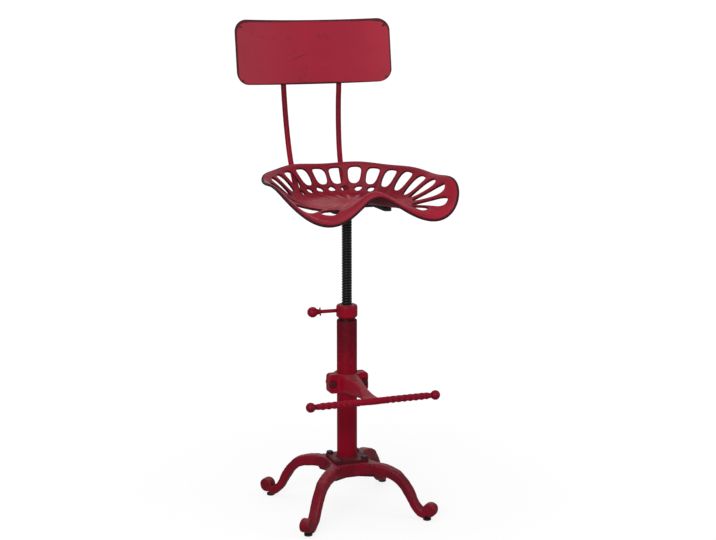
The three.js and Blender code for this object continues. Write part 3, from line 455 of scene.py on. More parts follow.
# Stand
QUARTERS = [
    ("back_right", 0, 1, 1), ("back_left", 90, -1, 1),
    ("front_left", 180, -1, -1), ("front_right", 270, 1, -1),
]
DIAGONAL = sqrt(0.5)
PAD_OUT = 189.4
PAD_CORNER = PAD_OUT * DIAGONAL
PAD_RADIUS, PAD_TALL = 8.75, 5
STEM_RADIUS, STEM_TOP = 3, 13
ROLL_RADIUS, ROLL_HALF, ROLL_EDGE = 15, 11, 4
ROLL_OUT, ROLL_HIGH = PAD_OUT + 7.8, 24
BASE_UNDERSIDE, BASE_THICKNESS = 79.5, 5
HUB_LOW = BASE_UNDERSIDE + BASE_THICKNESS + FIT
HUB_DEPTH, HUB_HALF, HUB_BORE = 25.9, 44, 21
HUB_MIDDLE = HUB_LOW + HUB_DEPTH / 2
HUB_OVERRUN = 6
FLANGE_LOW = HUB_LOW + HUB_DEPTH + FIT
FLANGE_TOP = FLANGE_LOW + 6
LEG_SIDE, LEG_FILLET = 25, 14
LEG_VOXEL = 1.25
CAST_LUMP, LUMPS_FROM, LUMPS_FADE = 0.9, 55, 20
BOLT_OFFSET, BOLT_RADIUS, BOLT_PITCH, HOLE_RADIUS = 29.5, 4, 1.25, 4.3
HEAD_ACROSS, HEAD_TALL, NUT_TALL = 13, 5.3, 6.5
WASHER_RADIUS, WASHER_THICK = 6.4, 0.5
COLUMN_RADIUS, COLUMN_BORE, COLUMN_TOP = 21.8, 18.3, 418.5
TUBE_END, BUSH_END = COLUMN_TOP + 3, COLUMN_TOP + 7.1
BUSH_RADIUS, BUSH_BORE, BUSH_LOW = 18, 11.3, COLUMN_TOP - 42

# distance from the axis, height, depth and width of the leg, as shares
LEG_PATH = [
    [0.2, 1, 0.97, 1], [0.42, 1, 0.97, 1], [0.55, 0.957, 0.94, 1],
    [0.634, 0.885, 0.88, 0.98], [0.702, 0.772, 0.8, 0.96], [0.755, 0.643, 0.74, 0.94],
    [0.797, 0.508, 0.7, 0.92], [0.835, 0.369, 0.68, 0.92], [0.876, 0.243, 0.69, 0.92],
    [0.93, 0.155, 0.72, 0.92], [1, 0.12, 0.72, 0.92],
]


def leg_sweep():
    rows = np.array(LEG_PATH) * (PAD_OUT, HUB_MIDDLE, LEG_SIDE, LEG_SIDE)
    rows = curve_through(rows, 90, 2)
    slopes = unit(np.gradient(rows[:, :2], axis=0))
    rings = []
    for (out, height, depth, width), (dx, dz) in zip(rows, slopes):
        ring = []
        for across, up in soften(rectangle(width / 2, depth / 2), depth * 0.27, 6):
            reach = (out - dz * up) * DIAGONAL
            ring.append((reach - across * DIAGONAL, reach + across * DIAGONAL, height + dx * up))
        rings.append(ring)
    return skin(rings)


def hub_quarter():
    """A quarter of the hub, with a hollow curve on each side of its leg."""
    side = HUB_HALF - LEG_SIDE / sqrt(2)
    run = LEG_FILLET / sqrt(2)
    outline = [(-HUB_OVERRUN, -HUB_OVERRUN), (HUB_HALF, -HUB_OVERRUN)]
    outline += corner((HUB_HALF, side - LEG_FILLET), (HUB_HALF, side), (HUB_HALF + run, side + run), 8)
    outline += corner((side + run, HUB_HALF + run), (side, HUB_HALF), (side - LEG_FILLET, HUB_HALF), 8)
    outline += [(-HUB_OVERRUN, HUB_HALF)]
    return prism(outline, HUB_LOW, HUB_LOW + HUB_DEPTH)


def scroll_roll():
    roll = turned(walls(0, ROLL_RADIUS, -ROLL_HALF, ROLL_HALF), 72, ROLL_EDGE, 6)
    reach = ROLL_OUT * DIAGONAL
    place = Matrix.Translation((reach, reach, ROLL_HIGH)) @ spin("Z", 45) @ spin("X", 90)
    return moved(roll, place)


def leg_mesh():
    mesh = fused("leg", [leg_sweep(), hub_quarter(), scroll_roll()], LEG_VOXEL, 5)
    for vertex in mesh.vertices:
        lump = noise.noise(vertex.co * 45) + 0.5 * noise.noise(vertex.co * 110)
        away = min(1, max(0, vertex.co.xy.length / MM - LUMPS_FROM) / LUMPS_FADE)
        vertex.co += vertex.normal * lump * away * CAST_LUMP * MM
    sliced(mesh, (FIT / 2, 0, 0), (-1, 0, 0))
    sliced(mesh, (0, FIT / 2, 0), (0, -1, 0))
    sliced(mesh, (0, 0, PAD_TALL + FIT), (0, 0, -1))
    low, high = HUB_LOW - 9, HUB_LOW + HUB_DEPTH + 9
    return carved(mesh, [
        rod(HUB_BORE, low, high, 64),
        shifted(rod(HOLE_RADIUS, low, high, 24), BOLT_OFFSET, BOLT_OFFSET),
        shifted(rod(STEM_RADIUS + FIT, -4, STEM_TOP + FIT, 24), PAD_CORNER, PAD_CORNER),
    ])


def pad_shape():
    profile = [
        (0, 0), (PAD_RADIUS, 0), (PAD_RADIUS, PAD_TALL), (STEM_RADIUS, PAD_TALL),
        (STEM_RADIUS, STEM_TOP), (0, STEM_TOP),
    ]
    return shifted(turned(profile, 40, 0.7, 4), PAD_CORNER, PAD_CORNER)


def hex_head(height, hole=0):
    """A hexagon on z = 0 with a turned chamfer on its far face, and a hole where one is given."""
    angle, chamfer = circle(72), 0.6
    flat = HEAD_ACROSS / 2 / np.cos((angle + tau / 12) % (tau / 6) - tau / 12)
    crown = HEAD_ACROSS / 2 * 0.96
    ring = lambda r, z: ring_at(angle, r, z)
    fall = np.maximum(flat - crown, 0) * tan(radians(30))
    inner = max(hole, 0.4)
    rings = [ring(inner, 0), ring(flat, 0), ring(flat, height - fall), ring(crown, height)]
    if not hole:
        return skin(rings)
    rings += [ring(inner + chamfer, height), ring(inner, height - chamfer)]
    points, faces = skin(rings)
    return points, faces[:-2] + strips([faces[-1], faces[-2][::-1]])


def threaded_end(low, high):
    rows = [(0, low)]
    z = low
    while z < high - 0.3:
        rows += [(BOLT_RADIUS - 0.55, z), (BOLT_RADIUS, z + BOLT_PITCH / 2)]
        z += BOLT_PITCH
    rows += [(BOLT_RADIUS - 0.7, high), (0, high)]
    return turned(rows, 32)


def hex_bolt(length):
    """A bolt that hangs from z = 0, with its head above."""
    washer = turned(walls(0, WASHER_RADIUS, -0.02, WASHER_THICK), 48, 0.15, 2)
    return joined([hex_head(HEAD_TALL), washer, threaded_end(-length, 0.4)])


def build_stand():
    tube = turned(walls(COLUMN_BORE, COLUMN_RADIUS, FLANGE_LOW, TUBE_END), 96, 1.2, 4)
    marks = lambda p: {"rub": ease(p[:, 2], TUBE_END - 3, TUBE_END - 0.5)}
    piece("column", tube, COLUMN_PAINT, "stand", "column_tube", marks=marks)
    bush = turned(walls(BUSH_BORE, BUSH_RADIUS, BUSH_LOW, BUSH_END), 72, 0.6, 3)
    piece("column_bush", bush, BOLT_STEEL, "stand", "column_nut")
    leg = leg_mesh()
    pad = mesh_of("foot_pad", pad_shape())
    hung = FLANGE_TOP + FIT
    for name, turn, x, y in QUARTERS:
        piece(f"cast_leg_{name}", leg, STAND_PAINT, "stand", f"leg_{name}", sharp=50, turn=turn)
        piece(f"rubber_pad_{name}", pad, RUBBER, "stand", f"foot_pad_{name}", turn=turn)
        bolt = shifted(hex_bolt(hung - BASE_UNDERSIDE), x * BOLT_OFFSET, y * BOLT_OFFSET, hung)
        steel = CLAMP_STEEL if name == "front_left" else BOLT_STEEL
        piece(f"base_bolt_{name}", bolt, steel, "stand", f"leg_bolt_{name}", sharp=25)


# Lock ring and handle
RING_LOW = BUSH_END + FIT
RING_TOP = RING_LOW + 29.5
RING_RADIUS = 22.8
HANDLE_HEIGHT, HANDLE_DROOP, HANDLE_BEARING = RING_LOW + 16.9, 2.9, 165
HANDLE_RADIUS = 4
KNOB_RADIUS, KNOB_OUT = 11.5, 73.5


def build_lock():
    ring = [
        (BUSH_BORE, RING_LOW), (18.4, RING_LOW), (RING_RADIUS, RING_LOW + 4.4), (RING_RADIUS, RING_TOP - 5),
        (21.4, RING_TOP - 1.5), (17.8, RING_TOP), (BUSH_BORE, RING_TOP),
    ]
    along = Matrix.Translation((0, 0, HANDLE_HEIGHT)) @ spin("Z", HANDLE_BEARING)
    along = along @ spin("Y", 90 + HANDLE_DROOP)
    socket = moved(rod(HANDLE_RADIUS + FIT, 14, 40, 32), along)
    body = carved(mesh_of("ring", turned(ring, 96, 1.4, 4)), [socket])
    piece("locking_ring", body, FITTING_PAINT, "lock", "lock_ring")
    knob = ball_rows(KNOB_RADIUS, KNOB_OUT, asin(0.5), 26)
    stem = [
        (0, 14.3), (HANDLE_RADIUS, 14.3), (HANDLE_RADIUS, 56), (9.25, 56), (9.25, 58.4), (6.2, 58.4),
        (5.3, 60.5),
    ]
    profile = list(soften(stem, 0.8, 4, closed=False)) + knob[1:]
    piece("locking_handle", moved(turned(profile, 56), along), FITTING_PAINT, "lock", "lock_handle")


# Footrest
CLAMP_LOW, CLAMP_TALL = 263.5, 42
CLAMP_MIDDLE = CLAMP_LOW + CLAMP_TALL / 2
CLAMP_BORE, CLAMP_RADIUS = COLUMN_RADIUS + FIT, 28.6
EAR_OUT, EAR_CORNER, CLAMP_BOLT_OUT = 44.5, 9, 36.5
FRONT_EAR, REAR_EAR, SOCKET_RADIUS = 13.5, 10, 8.6
BAR_OUT, BAR_UP = 164.6, 284.7
BAR_RADIUS, BAR_END_RADIUS, BAR_SQUARE, TWIST_PITCH = 7, 5.5, 12.2, 51
BAR_PLAIN = 23
BALL_OUT, BALL_RADIUS = 137, 10.25
SPIGOT_RADIUS, SPIGOT_LONG = 4, 7
ARM_WAIST, ARM_FLARE, ARM_END_DEPTH = 22, 24, 11
ARM_END_TOP = BAR_UP + 2.8

# how far along the arm; how much wider at the root and at the end; how far its top and its underside
# have gone from the clamp's to the end's
ARM_ROWS = [
    [0, 1, 0, 0, 0], [0.22, 0.55, 0, 0.08, 0.2], [0.42, 0.1, 0, 0.28, 0.52],
    [0.58, 0, 0.05, 0.55, 0.76], [0.74, 0, 0.28, 0.84, 0.92], [0.88, 0, 0.7, 1, 1],
    [1, 0, 1, 1, 1],
]


def arm_sweep():
    sides = 48
    angle = (np.arange(sides) + 0.5) / sides * tau
    bend = lambda wave: np.sign(wave) * np.abs(wave) ** 0.72
    rings = []
    for along, root, end, fall, rise in curve_through(ARM_ROWS, 60, 1):
        y = lerp(-COLUMN_RADIUS, -BAR_OUT, along)
        half = (ARM_WAIST + max(root, 0) * ARM_FLARE + max(end, 0) * ARM_FLARE) / 2
        high = lerp(CLAMP_LOW + CLAMP_TALL, ARM_END_TOP, fall)
        low = lerp(CLAMP_LOW, ARM_END_TOP - ARM_END_DEPTH, rise)
        rings.append(columns([
            half * bend(np.cos(angle)), np.full(sides, y),
            (high + low) / 2 + (high - low) / 2 * bend(np.sin(angle)),
        ]))
    return skin(rings)


def on_clamp(x, y, turn):
    return Matrix.Translation((x, y, CLAMP_MIDDLE)) @ spin("X", turn)


def clamp_mesh(front):
    ears = soften(rectangle(EAR_OUT, CLAMP_TALL / 2), EAR_CORNER, 8)
    plate = moved(prism(ears, -6, FRONT_EAR if front else REAR_EAR), on_clamp(0, 0, 90))
    collar = shifted(rod(CLAMP_RADIUS, 0, CLAMP_TALL, 96), 0, 0, CLAMP_LOW)
    shapes = [collar, plate] + ([arm_sweep()] if front else [])
    mesh = fused("clamp", shapes, 1.0, 4)
    sliced(mesh, (0, -1, 0), (0, 1, 0))
    cutters = [rod(CLAMP_BORE, CLAMP_LOW - 4, CLAMP_LOW + CLAMP_TALL + 4, 96)]
    socket_end = 22
    hole = [
        (0, -4), (HOLE_RADIUS, -4), (HOLE_RADIUS, REAR_EAR), (SOCKET_RADIUS, REAR_EAR),
        (SOCKET_RADIUS, socket_end), (0, socket_end),
    ]
    for side in (-1, 1):
        cutters.append(moved(turned(hole, 48), on_clamp(side * CLAMP_BOLT_OUT, 0, 90)))
    if front:
        saddle = Matrix.Translation((0, -BAR_OUT, BAR_UP)) @ spin("Y", 90)
        cutters.append(moved(rod(BAR_RADIUS + FIT, -60, 60, 64), saddle))
    return carved(mesh, cutters)


def twisted_bar():
    """Round in its middle, square and twisted on both sides of it, with a spigot at each end."""
    end = BALL_OUT - BALL_RADIUS + FIT
    angle, run_in = circle(40), BAR_SQUARE
    rings = []
    for x in np.linspace(-end, end, 300):
        inset = abs(x) - BAR_PLAIN
        twisted = ease(inset, 0, run_in) * fade(abs(x), end - run_in, end)
        round_radius = BAR_RADIUS if inset < run_in else BAR_END_RADIUS
        around = angle - x / TWIST_PITCH * tau
        square = BAR_SQUARE / 2 * (1 + 0.24 * np.abs(np.sin(around * 2)) ** 2.4)
        radius = lerp(round_radius, square, twisted)
        rings.append(ring_at(angle, radius, x)[:, [2, 0, 1]])
    spigot = lambda side: moved(rod(SPIGOT_RADIUS, end - FIT, end + SPIGOT_LONG, 24), spin("Y", 90 * side))
    return shifted(joined([skin(rings), spigot(1), spigot(-1)]), 0, -BAR_OUT, BAR_UP)


def ball_shape(side):
    face = BALL_OUT - BALL_RADIUS + FIT * 2
    start = acos((BALL_OUT - face) / BALL_RADIUS)
    bore, floor = SPIGOT_RADIUS + FIT, face + SPIGOT_LONG
    profile = [(0, floor), (bore, floor), (bore, face)] + ball_rows(BALL_RADIUS, BALL_OUT, start, 28)
    return shifted(moved(turned(profile, 48), spin("Y", 90 * side)), 0, -BAR_OUT, BAR_UP)


def build_footrest():
    front, rear = clamp_mesh(True), clamp_mesh(False)
    rear.transform(spin("Z", 180))
    piece("clamp_with_arm", front, FITTING_PAINT, "footrest", "footrest_clamp_front", sharp=50)
    piece("clamp_back", rear, FITTING_PAINT, "footrest", "footrest_clamp_rear", sharp=50)
    piece("twisted_bar", twisted_bar(), BAR_PAINT, "footrest", "footrest_bar", sharp=60)
    face = REAR_EAR + FIT
    for name, side in (("left", -1), ("right", 1)):
        piece(f"bar_ball_{name}", ball_shape(side), BAR_PAINT, "footrest", f"footrest_ball_{name}")
        out = side * CLAMP_BOLT_OUT
        bolt = moved(hex_bolt(face * 2 + NUT_TALL + 3), on_clamp(out, -face, 90))
        piece(f"clamp_screw_{name}", bolt, CLAMP_STEEL, "footrest", f"clamp_bolt_{name}", sharp=25)
        nut = moved(hex_head(NUT_TALL, HOLE_RADIUS), on_clamp(out, face, -90))
        piece(f"clamp_hex_{name}", nut, CLAMP_STEEL, "footrest", f"clamp_nut_{name}", sharp=25)


# Lifting screw
BRACKET_LOW, BRACKET_THICK = 668.2, 6.5
SCREW_LOW, SCREW_HIGH = 335.5, BRACKET_LOW - FIT
SCREW_PITCH, SCREW_RADIUS, GROOVE_DEEP = 5.7, 11, 1.8


def thread_shape():
    """A round-bottomed thread cut along a bar, with plain ends."""
    low, high, radius = SCREW_LOW, SCREW_HIGH, SCREW_RADIUS
    angle, per_turn = circle(48), 10
    ring = lambda r, z: ring_at(angle, r, z)
    rings = [ring(9.5, low), ring(radius - 0.1, low + 1.4)]
    for z in np.arange(low + 1.5, high - 1, SCREW_PITCH / per_turn):
        phase = (z / SCREW_PITCH - angle / tau) % 1
        groove = ease(phase, 0.22, 0.42) * fade(phase, 0.58, 0.78)
        ends = ease(z, low + 1, low + 6) * fade(z, high - 8, high - 3)
        rings.append(ring(radius - GROOVE_DEEP * groove * ends, z))
    return skin(rings + [ring(radius, high - 0.5), ring(radius - 0.5, high)])


# Seat pan: bearings run from the back, and shares from the pan's middle to its rim
PAN_FORWARD, PAN_THICK, PAN_RADIUS, PAN_RISE, PAN_POMMEL = 26.1, 5.5, 195.9, 55, 24.9
PAN_FLOOR = BRACKET_LOW + BRACKET_THICK + FIT + PAN_THICK
POMMEL_SPREAD, LOBE_START, LOBE_FULL = 32, 89.7, 117.8
WALL_START, ROLL_START, ROLL_SKEW, BUMP_START, BUMP_SKEW = 0.524, 0.3, 2.34, 0.25, 2.2
RIB_RISE, RIB_SPREAD, CREST_RISE, FLANK_RISE, HOLLOW_DEEP = 1.5, 4.2, 0.5, 2.6, 6.3
CREST_IN, CREST_END = 12, 24
RIM_RADIUS = [1, -0.089, -0.026, 0.083, -0.065, 0.042, -0.019]
RIM_RISE = [0.741, 0.534, -0.216, 0.021, 0.120, -0.203, 0.166, -0.089]
SLOT_BEARINGS = [7.1, 22.8, 38.5, 54.2, 69.9, 85.6, 101.3, 117, 132.7, 146.4]
RIB_BEARINGS = [0, 15, 30.7, 46.4, 62.1, 77.8, 93.5, 109.2, 124.9, 139.6, 153.5]
SLOT_PITCH, SLOT_WIDE, RIB_WIDE = 15.7, 39.7, 12.6
SLOT_OUTER, SLOT_INNER = (0.898, 0.815), (0.713, 0.575)
OVALS_A_SIDE, OVAL_PITCH, OVAL_PLACE = 3, 13.7, 0.655
OVAL_LONG, OVAL_WIDE = 10.5, 15.5
EDGE_WIDE, EDGE_DEEP = 2.4, 1.3
SEAT_SCREW_OFFSET, SEAT_SCREW_HEAD, SEAT_SCREW_END = 25, 7.5, 3
RIM_STEPS = (1.5, 3.2, 5.2, 7.6, 10, 12.2)
HOLE_STEPS = (0.25, 0.85, 1.9, 3.1, 4.3)
SCREW_HOLE_STEPS = (0.2, 0.6, 1.6, 3.4)
GRID_PITCH, GRID_REACH, GRID_CLEAR = 3.0, 230, 5.2
RIM_SIDES, RIM_ARC = 420, 7


def waves(shares, bearing):
    return sum(share * np.cos(order * bearing) for order, share in enumerate(shares))


def rim_at(bearing):
    return PAN_RADIUS * waves(RIM_RADIUS, bearing)


def beside(bearings, degrees, radius, spread):
    """1 on a line from the pan's middle at any of the bearings, falling to 0 beside it."""
    return sum(np.exp(-(np.radians(degrees - line) * radius / spread) ** 2) for line in bearings)


def relief(bearing, share, degrees):
    """Rib crests, a rolled crest inside the side rims and a hollow behind the pommel."""
    radius = share * rim_at(bearing)
    crest = beside(RIB_BEARINGS, degrees, radius, RIB_SPREAD)
    ribs = RIB_RISE * crest * ease(share, 0.2, 0.5) * fade(share, 0.80, 0.93)
    inside = rim_at(bearing) - radius
    flank = ease(degrees, 65, 115) * fade(degrees, 135, 165)
    flank *= np.where(bearing > 0, 0.4, 1)
    roll = np.sin(np.clip(inside / CREST_IN, 0, 1) * pi / 2)
    roll *= fade(inside, CREST_IN, CREST_END)
    hollow = np.sin(pi * np.clip((share - 0.1) / 0.5, 0, 1)) * np.exp(-((180 - degrees) / 50) ** 2)
    return ribs + (CREST_RISE + FLANK_RISE * flank) * roll + HOLLOW_DEEP * hollow


def pan_height(bearing, share):
    away = np.abs((bearing + pi) % tau - pi)
    wall = ease(share, WALL_START, 1)
    roll = np.maximum(0, (share - ROLL_START) / (1 - ROLL_START)) ** ROLL_SKEW
    lobe = ease(away, radians(LOBE_START), radians(LOBE_FULL))
    rise = PAN_RISE * waves(RIM_RISE, bearing) * lerp(wall, roll, lobe)
    climb = np.maximum(0, (share - BUMP_START) / (1 - BUMP_START)) ** BUMP_SKEW
    spread = np.exp(-((pi - away) / radians(POMMEL_SPREAD)) ** 2)
    pommel = PAN_POMMEL * np.sin(pi * np.minimum(climb, 1.02)) * spread
    return PAN_FLOOR + rise + pommel + relief(bearing, share, np.degrees(away))


def polar(xy):
    """Bearings and distances of places on the pan, and their shares of the way to the rim."""
    bearing, radius = np.arctan2(xy[:, 0], xy[:, 1]), np.hypot(xy[:, 0], xy[:, 1])
    return bearing, radius, radius / rim_at(bearing)


def height_at(xy):
    bearing, _, share = polar(xy)
    return pan_height(bearing, share)


def pan_frame(xy, step=0.35):
    """Places on the pan's top and the way up from it there."""
    ahead = lambda dx, dy: height_at(xy + (dx, dy))
    slope_x = (ahead(step, 0) - ahead(-step, 0)) / (2 * step)
    slope_y = (ahead(0, step) - ahead(0, -step)) / (2 * step)
    up = columns([-slope_x, -slope_y, np.ones(len(xy))])
    return columns([xy, ahead(0, 0)]), unit(up)


def flat_place(bearing, share):
    radius = rim_at(bearing) * share
    return columns([radius * np.sin(bearing), radius * np.cos(bearing)])


def slot_outline(degrees):
    bearing = radians(degrees)
    away = abs(degrees)
    outer = lerp(*SLOT_OUTER, ease(away, 131, 143))
    inner = lerp(*SLOT_INNER, ease(away, 30, 143))
    across = np.array([cos(bearing), -sin(bearing)])
    along = (1 - np.cos(np.linspace(0, pi, 60))) / 2
    place = flat_place(np.full(len(along), bearing), lerp(outer, inner, along))
    clear = norm(place, axis=1) * radians(SLOT_PITCH) - RIB_WIDE
    swell = (1 - np.abs(2 * along - 1) ** 3.2) ** (1 / 3.2) * (1 + 0.054 * (along - 0.5))
    width = swell * np.minimum(clear, SLOT_WIDE) / 2
    sides = [place + sign * width[:, None] * across for sign in (1, -1)]
    return even_loop(np.vstack([sides[0], sides[1][-2:0:-1]]), 1.9)


def even_loop(loop, gap):
    """Points at even steps along a closed line."""
    closed = np.vstack([loop, loop[:1]])
    run = np.concatenate([[0], np.cumsum(norm(np.diff(closed, axis=0), axis=1))])
    count = max(16, int(run[-1] / gap))
    at = np.linspace(0, run[-1], count, endpoint=False)
    loop = columns([np.interp(at, run, closed[:, k]) for k in range(2)])
    for _ in range(3):
        loop = (np.roll(loop, 1, 0) + loop * 2 + np.roll(loop, -1, 0)) / 4
    return loop


def ellipse(middle, bearing, long, wide, count):
    angle = circle(count)
    out = np.array([sin(bearing), cos(bearing)])
    across = np.array([cos(bearing), -sin(bearing)])
    return middle + np.outer(np.cos(angle) * long / 2, out) + np.outer(np.sin(angle) * wide / 2, across)


def grown(loop, distance):
    """A loop moved outwards from the hole that it is the edge of."""
    along = np.roll(loop, -1, 0) - np.roll(loop, 1, 0)
    side = unit(columns([along[:, 1], -along[:, 0]]))
    if ((loop - loop.mean(0)) * side).sum() < 0:
        side = -side
    return loop + side * distance


def inside_loop(points, loop):
    x, y = points[:, 0], points[:, 1]
    inside = np.zeros(len(points), bool)
    for (x0, y0), (x1, y1) in zip(loop, np.roll(loop, -1, 0)):
        crosses = (y0 > y) != (y1 > y)
        at = (x1 - x0) * (y - y0) / np.where(abs(y1 - y0) < 1e-12, 1e-12, y1 - y0) + x0
        inside ^= crosses & (x < at)
    return inside


def distance_to(points, loops):
    """How far each point is from the nearest of the loops' lines."""
    best = np.full(len(points), 1e9)
    for loop in loops:
        low, high = loop.min(0) - 12, loop.max(0) + 12
        near = np.where(((points > low) & (points < high)).all(1))[0]
        if not len(near):
            continue
        a, b = loop, np.roll(loop, -1, 0)
        run = b - a
        away = points[near][:, None, :] - a[None]
        t = np.clip((away * run).sum(2) / np.maximum((run * run).sum(1), 1e-12), 0, 1)
        gap = norm(away - t[..., None] * run[None], axis=2).min(1)
        best[near] = np.minimum(best[near], gap)
    return best


def rounded_drop(distance, wide, deep):
    t = np.clip(distance / wide, 0, 1)
    return deep * (1 - np.sqrt(np.maximum(0, 1 - (1 - t) ** 2)))


def pan_outlines():
    """The slots and ovals, the screw holes and the rim, as loops, and the way out of the rim."""
    holes = [slot_outline(sign * b) for b in SLOT_BEARINGS for sign in (1, -1)]
    for oval in range(-OVALS_A_SIDE, OVALS_A_SIDE + 1):
        bearing = radians(oval * OVAL_PITCH)
        middle = flat_place(np.array([bearing]), OVAL_PLACE)[0]
        holes.append(ellipse(middle, bearing, OVAL_LONG, OVAL_WIDE, 30))
    screw_holes = []
    for _, _, x, y in QUARTERS:
        middle = np.array([x * SEAT_SCREW_OFFSET, y * SEAT_SCREW_OFFSET + PAN_FORWARD])
        across = (SEAT_SCREW_HEAD + FIT) * 2
        screw_holes.append(ellipse(middle, 0, across, across, 32))
    bearings = circle(RIM_SIDES)
    top, _ = pan_frame(flat_place(bearings, 0.985))
    further_in, _ = pan_frame(flat_place(bearings, 0.975))
    outward = unit(top - further_in)
    lobe = ease(np.abs(np.degrees(bearings) - 180), 60, 45)
    fall_in = PAN_THICK / 2 * norm(outward[:, :2], axis=1) + lerp(0.2, 0.95, lobe)
    rim_share = 1 - fall_in / norm(flat_place(bearings, 1.0), axis=1)
    rim_loop = flat_place(bearings, rim_share)
    bands = [(flat_place(bearings, rim_share - step / rim_at(bearings)), step) for step in RIM_STEPS]
    bands += [(grown(loop, step), step) for loop in holes for step in HOLE_STEPS]
    bands += [(grown(loop, step), step) for loop in screw_holes for step in SCREW_HOLE_STEPS]
    return holes, screw_holes, rim_loop, outward, bands


def solid_at(points, outlines):
    """Which points lie inside the rim, the last of the outlines, and outside the holes."""
    solid = inside_loop(points, outlines[-1])
    for hole in outlines[:-1]:
        solid &= ~inside_loop(points, hole)
    return solid


def clear_of(points, outlines, least):
    return points[(distance_to(points, outlines) > least) & solid_at(points, outlines)]


def pan_triangles(outlines, bands):
    """Flat points and triangles of the pan, and each outline's points in order."""
    wanted = np.concatenate([np.full(len(loop), step) for loop, step in bands])
    loose = np.vstack([loop for loop, _ in bands])
    loose = clear_of(loose, outlines, np.minimum(wanted * 0.85, 1.0))
    rows = []
    for j, y in enumerate(np.arange(-GRID_REACH, GRID_REACH, GRID_PITCH * 0.866)):
        xs = np.arange(-GRID_REACH, GRID_REACH, GRID_PITCH) + (GRID_PITCH / 2 if j % 2 else 0)
        rows.append(columns([xs, np.full(len(xs), y)]))
    grid = clear_of(np.vstack(rows), outlines, GRID_CLEAR)

    flat = np.vstack(outlines + [loose, grid])
    ends = np.cumsum([len(loop) for loop in outlines])
    numbered = [list(range(end - len(loop), end)) for loop, end in zip(outlines, ends)]
    edges = [(a, b) for loop in numbered for a, b in zip(loop, loop[1:] + loop[:1])]
    made = delaunay_2d_cdt([Vector(p) for p in flat], edges, [], 0, 1e-4)
    points = np.array([tuple(v) for v in made[0]])
    place_of = {source: index for index, sources in enumerate(made[3]) for source in sources}
    triangles = np.array([f for f in made[2] if len(f) == 3])
    solid = solid_at(points[triangles].mean(1), outlines)
    return points, triangles[solid], [[place_of[i] for i in loop] for loop in numbered]


def pan_shape():
    holes, screw_holes, rim_loop, outward, bands = pan_outlines()
    points, triangles, rings = pan_triangles(holes + screw_holes + [rim_loop], bands)
    top, up = pan_frame(points)
    gap, screw_gap = distance_to(points, holes), distance_to(points, screw_holes)
    drop = np.maximum(rounded_drop(gap, EDGE_WIDE, EDGE_DEEP), rounded_drop(screw_gap, 0.7, 0.5))
    low_drop = np.maximum(rounded_drop(gap, 1.2, 0.6), rounded_drop(screw_gap, 0.5, 0.3))
    upper = top - up * drop[:, None]
    lower = top - up * (PAN_THICK - low_drop)[:, None]
    count = len(points)
    faces = [tuple(t) for t in triangles] + [tuple(count + i for i in reversed(t)) for t in triangles]
    for ring in rings[:-1]:
        faces += strips([ring, [count + i for i in ring]])
    # the rim is a half circle from the upper face to the lower one
    ring = rings[-1]
    middle = (upper[ring] + lower[ring]) / 2
    half = (upper[ring] - lower[ring]) / 2
    reach = norm(half, axis=1)[:, None]
    levels = [ring]
    verts = [upper, lower]
    for step in range(1, RIM_ARC):
        turn = pi * step / RIM_ARC
        verts.append(middle + half * cos(turn) + outward * reach * sin(turn))
        first = 2 * count + (step - 1) * len(ring)
        levels.append(range(first, first + len(ring)))
    levels.append([count + i for i in ring])
    verts = np.vstack(verts)
    verts[:, 1] -= PAN_FORWARD
    return (verts, faces + strips(levels)), holes, rim_loop


def seat_screw_shape():
    """A flat-head screw on z = 0 with its head upmost."""
    top = PAN_THICK + FIT + BRACKET_THICK + SEAT_SCREW_END
    profile = [
        (0, 0), (BOLT_RADIUS, 0), (BOLT_RADIUS, top - 3.6), (SEAT_SCREW_HEAD, top - 0.4),
        (SEAT_SCREW_HEAD, top - 0.05), (0, top - 0.05),
    ]
    return turned(profile, 40, 0.3, 3)


# Back rods and panel
ROD_RADIUS, ROD_FOOT_OUT, ROD_FOOT_BACK, ROD_OUT = 6, 55, 62, 64.6
ROD_TOP = 117
PANEL_LOW, PANEL_BACK, PANEL_LEAN, PANEL_BOW = 908.2, 222, radians(8.95), 29
PANEL_HALF_WIDE, PANEL_HALF_TALL, PANEL_CORNER = 178.5, 70.5, 28
PANEL_THICK, LIP_DEEP, LIP_WIDE = 2.4, 5, 2.2

# backward reach and height of the rod, from the bracket to the panel's lower edge
ROD_ROWS = [
    [0, 0], [0.37, 0], [0.623, 0.062], [0.765, 0.192], [0.841, 0.3],
    [0.894, 0.412], [0.93, 0.523], [0.965, 0.668], [0.989, 0.834], [1, 1],
]


def rod_back_at(along):
    """How far back the rod lies behind the panel, so far up along it."""
    bow = PANEL_BOW * (ROD_OUT / PANEL_HALF_WIDE) ** 2
    behind = PANEL_THICK + LIP_DEEP + ROD_RADIUS + FIT
    lean = cos(PANEL_LEAN)
    return PANEL_BACK + along * sin(PANEL_LEAN) - bow * lean + behind / lean


def rod_shape(side):
    start = np.array([ROD_FOOT_OUT, ROD_FOOT_BACK + FIT, BRACKET_LOW + BRACKET_THICK - ROD_RADIUS])
    low = np.array([ROD_OUT, rod_back_at(0), PANEL_LOW])
    places = [lerp(start, low, np.array([up, back, up])) for back, up in ROD_ROWS]
    for along in (ROD_TOP / 2, ROD_TOP):
        places.append([ROD_OUT, rod_back_at(along), PANEL_LOW + along * cos(PANEL_LEAN)])
    path = curve_through(places, 110)
    way = unit(np.gradient(path, axis=0))
    angle = circle(28)
    rings = []
    for i, (place, ahead) in enumerate(zip(path, way)):
        radius = ROD_RADIUS * (0.88 if i in (0, len(path) - 1) else 1)
        right = np.array([1, 0, 0]) - ahead * ahead[0]
        right /= norm(right)
        over = np.cross(right, ahead)
        rings.append(place + radius * (np.outer(np.cos(angle), right) + np.outer(np.sin(angle), over)))
    points, faces = skin(rings)
    return points * (side, 1, 1), faces


